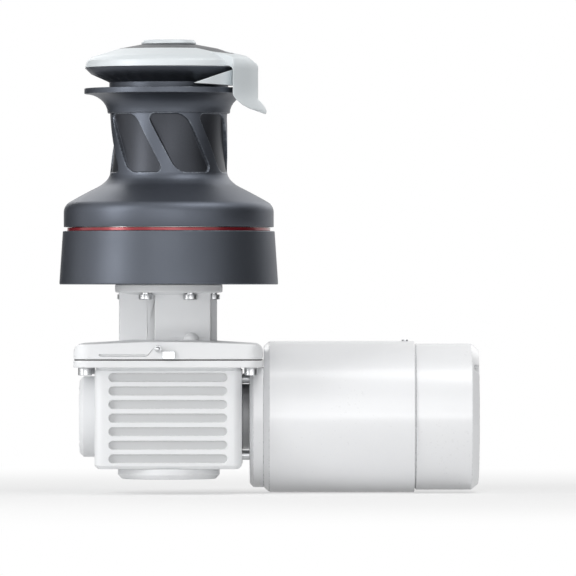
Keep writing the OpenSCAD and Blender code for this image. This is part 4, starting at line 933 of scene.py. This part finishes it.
@dataclass(frozen=True)
class Stud:
    """A threaded stud; the thread is cut by Geometry Nodes."""

    shop: Workshop
    radius: float = 0.0040
    length: float = 0.0220
    pitch: float = 0.00125
    depth: float = 0.00062
    rows_per_pitch: int = 8

    def thread(self) -> Builder:
        """The tree that cuts the thread."""
        b = Builder("stud_thread")
        n = b.nodes
        radius, angle, z, outward = b.polar()
        phase = (z / b.input("Pitch") - angle / math.tau).math("FRACT")
        tooth = n.steps(abs(phase - 0.5) * 2.0, 0.12, 0.88, smooth=False)
        ends = n.steps(z, 0.0, 0.0008) * n.steps(b.input("Length") - z, 0.0004, 0.0014)
        rim = n.steps(radius, b.input("Radius") - 0.0003, b.input("Radius") - 0.0002)
        cut = tooth * ends * rim * b.input("Depth") * -1.0
        marked = b.stored(b.shifted(b.input("Geometry"), outward(cut)), "edge", (1.0 - tooth) * rim * 0.6)
        b.close(marked, self.shop.material(FINISHES[Slot.BRONZE]))
        return b

    def mesh(self) -> bpy.types.Mesh:
        """The stud's mesh."""
        rows = round(self.length / self.pitch * self.rows_per_pitch)
        r, top, chamfer = self.radius, self.length, 0.0007
        sides = [(r, (top - chamfer) * i / rows) for i in range(rows + 1)]
        blank = lathe("stud_blank", [(0.0, 0.0), *sides, (r - chamfer, top), (0.0, top)], 48)
        return self.thread().run(blank, {
            "Pitch": self.pitch, "Length": self.length, "Radius": r, "Depth": self.depth})


# Sub-assemblies


@dataclass
class Assembly:
    """What every sub-assembly works with."""

    shop: Workshop
    screws: ScrewRow


@dataclass
class Drum(Assembly):
    """The drum: a turned shell whose grip panels are pressed in by Geometry Nodes.

    The steps are the spacing of the shell's rows and columns, fine where a panel's wall is.
    """

    barrel_r: float = 0.0527
    barrel_low: float = 0.101
    barrel_top: float = 0.157
    skirt_r: float = 0.0945
    skirt_low: float = 0.0516
    skirt_high: float = 0.0648
    panels: int = 7
    panel_share: float = 0.768
    panel_low: float = 0.100
    panel_high: float = 0.1535
    panel_round: float = 0.0085
    panel_depth: float = 0.0035
    phase: float = math.radians(-76.9)
    slant: float = math.radians(0.58) / MM
    wall: float = 0.0010
    lip: float = 0.0006
    skin: float = 0.0020
    bore_split: float = 0.1500
    shoulder_r: float = 0.0110
    skirt_bore_r: float = 0.0880
    foot_low: float = 0.0888
    foot_rise: float = 0.0122
    foot_reach: float = 0.0093
    edge_zone: float = 0.0098
    edge_gap: float = 0.0012
    row_gap: float = 0.0002
    middle_rows: int = 18
    row_wall: float = 0.0011
    row_wall_step: float = 0.00025
    row_start: float = 0.0024
    row_step: float = 0.0006
    floor_step: float = 0.0022
    floor_fine_step: float = 0.00075
    wall_reach: float = 0.0014
    wall_step: float = 0.00026
    land_gap: float = 0.0005
    skin_depth: float = 0.0010
    waist_margin: float = 0.0040
    rim_width: float = 0.0007
    rim_shift: float = 0.0001
    flare_line: Outline = ((0.0805, 0.0791), (0.0713, 0.0840), (0.0620, 0.0888))
    bore_line: Outline = (
        (0.0450, 0.1570), (0.0450, 0.1825), (0.0445, 0.1830), (0.0340, 0.1830), (0.0340, 0.1580),
        (0.0362, 0.1580), (0.0362, 0.0950), (0.0460, 0.0930), (0.0600, 0.0800), (0.0710, 0.0720),
        (0.0730, 0.0620), (0.0880, 0.0620))

    def heights(self) -> list[float]:
        """Heights of the rows over the panels, close together at their upper and lower edges."""
        near = [self.row_wall + self.row_wall_step * i for i in range(-8, 4)]
        near += [self.row_start + self.row_step * i for i in range(12)]
        low, high = self.panel_low + self.edge_zone, self.panel_high - self.edge_zone
        return ([self.panel_low + a for a in near]
                + [low + (high - low) * i / self.middle_rows for i in range(self.middle_rows + 1)]
                + [self.panel_high - a for a in reversed(near)])

    def foot_r(self, share: float) -> float:
        """Radius of the foot of the barrel, from 0 at its bottom to 1 at its top."""
        return self.barrel_r + self.foot_reach * (1 - share) ** 2

    def profile(self) -> Outline:
        """The outline of the shell, with many points where the panels are."""
        r, lip, turn = self.barrel_r, self.lip, self.shoulder_r
        shoulder = [(self.skirt_r - turn + turn * math.cos(math.radians(a)),
                     self.skirt_high + turn * math.sin(math.radians(a))) for a in range(0, 63, 5)]
        foot = [(self.foot_r(s / 4), self.foot_low + self.foot_rise * s / 4) for s in range(1, 4)]
        flare = rounded([shoulder[-1], *self.flare_line, *foot], 5)
        heights = self.heights()
        split = self.barrel_low - self.edge_gap
        barrel = [(r, z) for z in heights if z > split]
        start = [(x, z) for x, z in flare[1:] if z < heights[0] - self.row_gap]
        lower = [(self.foot_r(min(1.0, (z - self.foot_low) / self.foot_rise)), z)
                 for z in heights if z <= split]
        skirt = [(self.skirt_bore_r, self.skirt_low), (self.skirt_r - lip, self.skirt_low),
                 (self.skirt_r - lip * 0.3, self.skirt_low + lip * 0.3),
                 (self.skirt_r, self.skirt_low + lip)]
        top = [(r, self.barrel_top - lip), (r - lip, self.barrel_top)]
        return skirt + shoulder + start + lower + barrel + top + list(self.bore_line)

    def columns(self) -> list[float]:
        """Angles round the drum within one pitch, close together at the edges of a panel."""
        pitch = math.tau / self.panels
        edge, rest = pitch * self.panel_share / 2 * self.barrel_r, pitch / 2 * self.barrel_r
        floor = [self.floor_step * i for i in range(5)]
        floor += [floor[-1] + self.floor_fine_step * i for i in range(1, 11)]
        floor = [a for a in floor if a < edge - self.wall_reach]
        wall = [edge + self.wall_step * i for i in range(-5, 3)]
        land = edge + self.land_gap
        rib = [land + (rest - land) * i / 4 for i in range(1, 5)]
        side = [a / self.barrel_r for a in floor + wall + rib]
        return [-a for a in side[-2:0:-1]] + side

    def blank(self) -> bpy.types.Mesh:
        """The shell before the panels are pressed in; its columns follow the panels' slant."""
        profile = self.profile()
        columns = self.columns()
        turns = [i * math.tau / self.panels + c for i in range(self.panels) for c in columns]
        middle = (self.panel_low + self.panel_high) / 2
        points = []
        for turn in turns:
            for r, z in profile:
                held = min(max(z, self.panel_low), self.panel_high)
                if r < self.barrel_r - self.skin:
                    held = self.panel_high if z > self.bore_split else self.panel_low
                angle = turn + self.phase + (middle - held) * self.slant
                points.append((r * math.cos(angle), r * math.sin(angle), z))
        mesh = new_mesh("drum_blank", points, ring_faces(len(turns), len(profile)))
        mesh.shade_smooth()
        return mesh

    def press(self) -> Builder:
        """The tree that presses the panels in and marks their floors and edges."""
        b = Builder("grip_panels")
        n = b.nodes
        radius, angle, z, outward = b.polar()
        barrel, low, high = b.input("Barrel Radius"), b.input("Low"), b.input("High")
        pitch, corner = b.input("Pitch"), b.input("Corner")
        middle, half_h = (low + high) * 0.5, (high - low) * 0.5
        drift = angle - b.input("Phase") - (middle - z) * b.input("Slant")
        across = abs(drift.math("WRAP", pitch * 0.5, pitch * -0.5)) * barrel
        half_w = pitch * b.input("Share") * barrel * 0.5
        up = abs(z - middle)
        qx, qz = across - half_w + corner, up - half_h + corner
        ox, oz = qx.math("MAXIMUM", 0.0), qz.math("MAXIMUM", 0.0)
        away = (ox * ox + oz * oz).math("SQRT") + qx.math("MAXIMUM", qz).math("MINIMUM", 0.0) - corner
        inside = n.term("ShaderNodeMapRange", {"interpolation_type": "SMOOTHERSTEP"}, {
            "Value": away * -1.0, "From Min": 0.0, "From Max": b.input("Wall")})
        outer = radius.math("GREATER_THAN", barrel - self.skin_depth)
        waist = 1.0 - (up / (half_h + self.waist_margin)) ** 2.0
        depth = inside * outer * waist.math("MAXIMUM", 0.0) * b.input("Depth")
        rim = (1.0 - abs(away + self.rim_shift) / self.rim_width).math("MAXIMUM", 0.0) * outer
        marked = b.stored(b.stored(b.input("Geometry"), "panel", inside * outer), "edge", rim)
        b.close(b.shifted(marked, outward(depth * -1.0)), self.shop.material(DRUM_FINISH))
        return b

    def build(self) -> None:
        """Builds the shell with its grip panels and puts it in place of the CAD shell."""
        mesh = self.press().run(self.blank(), {
            "Barrel Radius": self.barrel_r, "Low": self.panel_low, "High": self.panel_high,
            "Pitch": math.tau / self.panels, "Corner": self.panel_round, "Phase": self.phase,
            "Slant": self.slant, "Share": self.panel_share, "Wall": self.wall,
            "Depth": self.panel_depth})
        sharpen(mesh, 50.0)
        self.shop.place("drum_with_grip_panels", mesh, ["drum_shell"], DRUM_FINISH)


@dataclass
class Jaws(Assembly):
    """The two self-tailing jaws; the underside of the upper one has pressed flutes."""

    edge: float = 0.0006
    face_inner: tuple[float, float] = (0.0535, 0.1818)
    face_outer: tuple[float, float] = (0.0698, 0.1891)
    flutes: int = 30
    flute_depth: float = 0.0012
    rows: int = 9
    near: float = 0.0020
    screw: SocketScrew = SocketScrew(0.0025, 0.0042, 0.0035, 0.0160)
    screw_r: float = 0.0395
    screw_z: float = 0.1885
    spring_low: float = 0.1570
    spring_length: float = 0.0070
    travel: float = 0.0030

    def banded(self, mesh: bpy.types.Mesh) -> bpy.types.Mesh:
        """Cuts rings into the gripping face, so that it can be fluted."""
        with edited(mesh) as bm:
            radial = [edge for edge in bm.edges if self.crosses_face(*(v.co for v in edge.verts))]
            bmesh.ops.subdivide_edges(bm, edges=radial, cuts=self.rows, use_grid_fill=True)
            LOG.info("gripping face: %d radial edges", len(radial))
        return mesh

    def crosses_face(self, a: Vector, b: Vector) -> bool:
        """Whether an edge between two points runs straight across the gripping face."""
        (r0, z0), (r1, z1) = self.face_inner, self.face_outer
        low, high = sorted((math.hypot(a.x, a.y), math.hypot(b.x, b.y)))
        radial = abs(a.x * b.y - a.y * b.x) < 1e-8
        placed = max(a.z, b.z) < z1 + self.near and min(a.z, b.z) < z0 + self.near
        return radial and placed and low > r0 - self.near and high - low > (r1 - r0) * 0.8

    def press(self) -> Builder:
        """The tree that presses the flutes."""
        b = Builder("jaw_flutes")
        n = b.nodes
        radius, angle, z, _ = b.polar()
        share = (radius - b.input("Inner Radius")) / (b.input("Outer Radius") - b.input("Inner Radius"))
        face = b.input("Inner Height") + share * (b.input("Outer Height") - b.input("Inner Height"))
        near = 1.0 - n.steps(abs(z - face), 0.0003, 0.0006)
        band = n.steps(share, 0.02, 0.22) * (1.0 - n.steps(share, 0.80, 0.98))
        wave = ((angle * b.input("Flutes")).math("COSINE") * 0.75 + 0.25).held()
        lift = n.vector(0.0, 0.0, wave * band * near * b.input("Depth"))
        b.close(b.shifted(b.input("Geometry"), lift), self.shop.material(FINISHES[Slot.DECK_GREY]))
        return b

    def build(self) -> None:
        """Dresses the jaws and springs and puts the jaw screws in."""
        self.shop.ease(self.edge, lower_jaw="lower_jaw_turned")
        mesh = self.press().run(self.banded(eased_copy("upper_jaw", self.edge)), {
            "Inner Radius": self.face_inner[0], "Inner Height": self.face_inner[1],
            "Outer Radius": self.face_outer[0], "Outer Height": self.face_outer[1],
            "Flutes": float(self.flutes), "Depth": self.flute_depth})
        self.shop.place("upper_jaw_fluted", even_normals(mesh), ["upper_jaw"])
        coils = even_normals(clean_copy("jaw_springs"))
        springs = self.shop.place("jaw_spring_set", coils, ["jaw_springs"])
        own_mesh(springs)
        seats = ring_seats(range(30, 390, 60), self.screw_r, self.screw_z, up=1.0)
        self.screws.make("jaw_screw_row", "jaw_screws", seats, self.screw, seed=5)


@dataclass
class StripperArm(Assembly):
    """The silver arm and dome, its dark cover, the peeler and the cap."""

    arm_ease: float = 0.0008
    fine_ease: float = 0.0004
    pocket_rise: float = 0.0006
    screw: SocketScrew = SocketScrew(0.0020, 0.0034, 0.0034, 0.0170)
    screw_r: float = 0.0240
    screw_z: float = 0.2040

    def build(self) -> None:
        """Dresses the arm and what sits on it."""
        cutter = clean_copy("arm_cover")
        cutter.transform(Matrix.Translation((0.0, 0.0, self.pocket_rise)))
        arm = combined(eased_copy("stripper_arm", self.arm_ease), cutter, "DIFFERENCE")
        self.shop.place("stripper_arm_casting", even_normals(arm), ["stripper_arm"])
        nodes = ("arm_cover", "line_peeler", "spindle_cap", "spindle")
        self.shop.ease(self.fine_ease, **{node: f"{node}_finished" for node in nodes})
        seats = ring_seats(range(45, 405, 90), self.screw_r, self.screw_z, up=1.0)
        self.screws.make("arm_screw_row", "arm_screws", seats, self.screw, seed=7)


@dataclass
class DeckBase(Assembly):
    """The base on the deck with its red ring, and the screws that the drum hides."""

    base_edge: float = 0.0008
    ring_edge: float = 0.0004
    post_screw: SocketScrew = SocketScrew(0.0040, 0.0065, 0.0080, 0.0200)
    post_turns: tuple[float, ...] = (20.0, 160.0, 230.0, 310.0)
    ring_screw: SocketScrew = SocketScrew(0.0025, 0.0042, 0.0040, 0.0100)

    def build(self) -> None:
        """Dresses the base and the ring."""
        self.shop.ease(self.base_edge, base_housing="base_cone")
        self.shop.ease(self.ring_edge, red_trim_ring="red_ring")
        posts = ring_seats(self.post_turns, radius=0.0600, height=0.0530, up=1.0)
        self.screws.make("stem_screw_row", "stem_screws", posts, self.post_screw, seed=11)
        ring = ring_seats(range(0, 360, 60), radius=0.0775, height=0.0580, up=-1.0)
        self.screws.make("ring_gear_screw_row", "ring_gear_screws", ring, self.ring_screw, seed=13)


@dataclass
class Gearbox(Assembly):
    """Neck and lid, housing, covers and fasteners below the deck."""

    cast_ease: float = 0.0010
    fine_ease: float = 0.0007
    fitting_ease: float = 0.0003
    neck_web: tuple[Point, Point] = ((-0.0225, -0.0140, -0.0520), (-0.0110, -0.0105, -0.0080))
    slot_floor: float = -0.0420
    # depth over which the painted slot shade fades out towards the front face
    slot_shade_fade: float = 0.0025
    slot_margin: float = 0.0005
    slot_half_len: float = 0.0535
    slot_top: float = -0.0760
    neck_bolt: SocketScrew = SocketScrew(0.0040, 0.0065, 0.0046, 0.0169)
    case_bolt: SocketScrew = SocketScrew(0.0040, 0.0062, 0.0072, 0.0173)
    case_places: Outline = (
        (-0.0743, -0.0380), (0.0743, -0.0380), (-0.0743, 0.0800), (-0.0450, 0.0950), (0.0450, 0.0950))
    case_seat: float = -0.0743
    cover_screw: SocketScrew = SocketScrew(0.0025, 0.00425, 0.0050, 0.0183)

    def slot_shade_share(self, place: Vector) -> float:
        """How much painted shade a point gets, from 0 on the front face to 1 down in a cooling slot."""
        outside = abs(place.x) > self.slot_half_len or place.z > self.slot_top
        if outside or place.y > self.slot_floor + self.slot_margin:
            return 0.0
        return min(1.0, max(0.0, 1.0 - (self.slot_floor - place.y) / self.slot_shade_fade))

    def build(self) -> None:
        """Dresses the castings and puts the screws in."""
        neck = combined(clean_copy("pedestal"), block(*self.neck_web), "UNION")
        self.shop.place("neck_and_lid", eased(neck, self.cast_ease), ["pedestal"])
        # the cooling slots of the case get painted shade, darker towards their floors
        case = mark_painted_shade(eased_copy("gearbox_housing", self.fine_ease), self.slot_shade_share)
        self.shop.place("gear_case", case, ["gearbox_housing"])
        self.shop.ease(self.fine_ease, worm_end_cover="left_cover", bottom_cap="lower_cap")
        self.shop.ease(self.fitting_ease, grease_fitting="lid_fitting")
        collar = ring_seats(range(0, 360, 60), radius=0.0397, height=-0.0089, up=-1.0)
        self.screws.make("neck_bolt_row", "neck_bolts", collar, self.neck_bolt, seed=17)
        corners = [((x, y, self.case_seat), (0.0, 0.0, -1.0)) for x, y in self.case_places]
        self.screws.make("case_bolt_row", "gearbox_bolts", corners, self.case_bolt, seed=19)
        cover = motor_seats(range(45, 405, 90), radius=0.0290, place=-0.0752, way=-1.0)
        self.screws.make("cover_screw_row", "end_cover_screws", cover, self.cover_screw, seed=23)


@dataclass
class Motor(Assembly):
    """Flange, covers, can and terminals of the motor."""

    edge: float = 0.0007
    flange_screw: SocketScrew = SocketScrew(0.0040, 0.0065, 0.0080, 0.0190)
    tie_bolt: SocketScrew = SocketScrew(0.0025, 0.00425, 0.0050, 0.1683)
    plug: SocketScrew = SocketScrew(0.0020, 0.0030, 0.0016, 0.0040)
    plug_seat: Point = (0.2131, MOTOR_AXIS[1], -0.0511)
    stud_x: float = 0.2496
    stud_z: tuple[float, float] = (-0.0975, -0.1415)
    washer_y: float = 0.1091
    stud_y: float = 0.1102
    insulator: TerminalPart = TerminalPart((
        (0.0, -0.0109), (0.0065, -0.0109), (0.0065, 0.0), (0.0096, 0.0), (0.0100, 0.0004),
        (0.0100, 0.0012), (0.0093, 0.0016), (0.0093, 0.0022), (0.0100, 0.0026), (0.0100, 0.0034),
        (0.0095, 0.0040), (0.0060, 0.0040), (0.0056, 0.0036), (0.0, 0.0036)))

    def build(self) -> None:
        """Dresses the motor, and puts its screws and terminals in."""
        self.shop.ease(self.edge, motor_flange="motor_adapter", motor_front_bell="front_cover",
                       motor_can="field_can", motor_rear_bell="rear_cover")
        flange = motor_seats(range(45, 405, 90), radius=0.04893, place=0.0769, way=1.0)
        self.screws.make("flange_screw_row", "flange_screws", flange, self.flange_screw, seed=29)
        ties = motor_seats((45, 225), radius=0.0600, place=0.2666, way=1.0)
        self.screws.make("tie_bolt_row", "through_bolts", ties, self.tie_bolt, seed=31)
        top = [(self.plug_seat, (0.0, 0.0, 1.0))]
        self.screws.make("can_plug", "vent_plug", top, self.plug, seed=37)
        for name, y, part, finish in (
                ("terminal_insulators", self.washer_y, self.insulator, FINISHES[Slot.INSULATOR]),
                ("terminal_studs", self.stud_y, Stud(self.shop), FINISHES[Slot.BRONZE])):
            seats = [((self.stud_x, y, z), (0.0, 1.0, 0.0)) for z in self.stud_z]
            self.screws.make(name, "motor_terminals", seats, part, seed=41, finish=finish)


@dataclass
class Studio:
    """Floor, background, lamps and camera."""

    centre: Point = (0.1073, 0.0, -0.00315)
    frame_width: float = 0.5184
    lens: float = 500.0
    sensor: float = 36.0
    floor_drop: float = 0.0004
    floor_r: float = 1.6
    floor_fade: tuple[float, float] = (0.25, 1.1)

    def white_mask(self, n: Nodes) -> Term:
        """1 for the rays that see the background."""
        path = n.make("ShaderNodeLightPath")
        rays = [Term(n, path.outputs[name]) for name in
                ("Is Camera Ray", "Is Glossy Ray", "Is Transmission Ray")]
        return rays[0].math("MAXIMUM", rays[1]).math("MAXIMUM", rays[2])

    def world(self) -> None:
        """White background, with a softer light from all round."""
        world = bpy.data.worlds.new("studio")
        bpy.context.scene.world = world
        n = Nodes.on(world)
        seen = self.white_mask(n)
        strength = seen * 0.68 + 0.32
        glow = n.term("ShaderNodeBackground", {}, {"Color": (1.0, 1.0, 1.0), "Strength": strength})
        n.make("ShaderNodeOutputWorld", {}, {"Surface": glow})

    def floor(self) -> None:
        """A pale floor under the object that fades into the white background."""
        low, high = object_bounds()
        mesh = bpy.data.meshes.new("floor")
        with edited(mesh) as bm:
            bmesh.ops.create_circle(bm, cap_ends=True, segments=96, radius=self.floor_r)
        middle = (low + high) / 2
        mesh.transform(Matrix.Translation((middle.x, middle.y, low.z - self.floor_drop)))
        material = bpy.data.materials.new("pale_floor")
        n = Nodes.on(material)
        x, y, _ = n.parts(n.term("ShaderNodeTexCoord", {}, {}, "Object"))
        dx, dy = x - middle.x, y - middle.y
        far = n.steps(n.radius(dx, dy), *self.floor_fade)
        share = (self.white_mask(n) * (far * 0.45 + 0.55)).held()
        pale = n.term("ShaderNodeBsdfDiffuse", {}, {"Color": (0.86, 0.86, 0.86)})
        white = n.term("ShaderNodeEmission", {}, {"Color": (1.0, 1.0, 1.0), "Strength": 1.0})
        both = n.term("ShaderNodeMixShader", {}, {0: share, 1: pale, 2: white})
        n.make("ShaderNodeOutputMaterial", {}, {"Surface": both})
        mesh.materials.append(material)
        linked("floor", mesh)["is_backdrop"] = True

    def way(self, azimuth: float, elevation: float) -> Vector:
        """The direction from the object to a lamp or board."""
        a, e = math.radians(azimuth), math.radians(elevation)
        return Vector((math.sin(a) * math.cos(e), -math.cos(a) * math.cos(e), math.sin(e)))

    def lamp(self, name: str, azimuth: float, elevation: float, distance: float,
             size: tuple[float, float], power: float) -> None:
        """A soft box that faces the object.

        Args:
            name: the lamp's name.
            azimuth: degrees round the object, 0 in front and 90 on the right.
            elevation: degrees above the horizon.
            distance: metres from the object.
            size: width and height of the box in metres.
            power: watts.
        """
        way = self.way(azimuth, elevation)
        data = bpy.data.lights.new(name, "AREA")
        data.shape = "RECTANGLE"
        data.size, data.size_y = size
        data.energy = power
        lamp = linked(name, data)
        lamp.location = Vector(self.centre) + way * distance
        lamp.rotation_mode = "QUATERNION"
        lamp.rotation_quaternion = way.to_track_quat("Z", "Y")
        lamp.visible_camera = False

    def lights(self) -> None:
        """Key from the front left, fill, low, top and back lamps."""
        self.lamp("key", -60.0, 18.0, distance=1.3, size=(0.36, 1.1), power=7.6)
        self.lamp("fill", -6.0, 4.0, distance=1.8, size=(1.1, 1.5), power=8.0)
        self.lamp("low", 14.0, -3.0, distance=1.2, size=(0.9, 0.2), power=1.2)
        self.lamp("top", 48.0, 64.0, distance=1.4, size=(1.0, 0.7), power=7.8)
        self.lamp("back_left", -150.0, 30.0, distance=1.6, size=(0.8, 1.0), power=4.0)
        self.lamp("back_right", 150.0, 30.0, distance=1.6, size=(0.8, 1.0), power=3.0)

    def flag(self, azimuth: float, distance: float, size: tuple[float, float]) -> None:
        """A dark board beside the object, out of the camera's sight, that shades one side.

        Args:
            azimuth: degrees round the object, 0 in front and 90 on the right.
            distance: metres from the object.
            size: width and height of the board in metres.
        """
        way = self.way(azimuth, 0.0)
        half_w, half_h = size[0] / 2, size[1] / 2
        side = Vector((way.y, -way.x, 0.0)) * half_w
        up = Vector((0.0, 0.0, half_h))
        middle = Vector(self.centre) + way * distance
        corners = [middle - side - up, middle + side - up, middle + side + up, middle - side + up]
        mesh = new_mesh("flag", corners, [(0, 1, 2, 3)])
        material = bpy.data.materials.new("flag_cloth")
        n = Nodes.on(material)
        cloth = n.term("ShaderNodeBsdfDiffuse", {}, {"Color": (0.02, 0.02, 0.02)})
        n.make("ShaderNodeOutputMaterial", {}, {"Surface": cloth})
        mesh.materials.append(material)
        board = linked("flag", mesh)
        board.visible_camera = False
        board.visible_shadow = False
        board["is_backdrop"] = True

    def camera(self) -> None:
        """A long lens square to the front, as the photograph has it."""
        data = bpy.data.cameras.new("front")
        data.lens = self.lens
        data.sensor_width = self.sensor
        data.clip_end = 100.0
        camera = linked("front", data)
        distance = self.frame_width * self.lens / self.sensor
        camera.location = Vector(self.centre) + Vector((0.0, -distance, 0.0))
        camera.rotation_euler = (math.pi / 2, 0.0, 0.0)
        bpy.context.scene.camera = camera

    def build(self) -> None:
        """Sets the studio up."""
        self.world()
        self.floor()
        self.lights()
        self.flag(azimuth=84.0, distance=0.75, size=(0.9, 1.2))
        self.flag(azimuth=-128.0, distance=0.75, size=(0.5, 1.2))
        self.camera()
        bpy.context.scene.view_settings.view_transform = "Standard"


def main() -> None:
    """Builds the winch and its studio."""
    logging.basicConfig(level=logging.INFO, format="%(name)s: %(message)s")
    shop = Workshop()
    screws = ScrewRow(shop)
    for node in frame["nodes"]:
        shop.paint_node(node)
    Studio().build()
    for assembly in (Drum, Jaws, StripperArm, DeckBase, Gearbox, Motor):
        assembly(shop, screws).build()


if __name__ == "__main__":
    main()
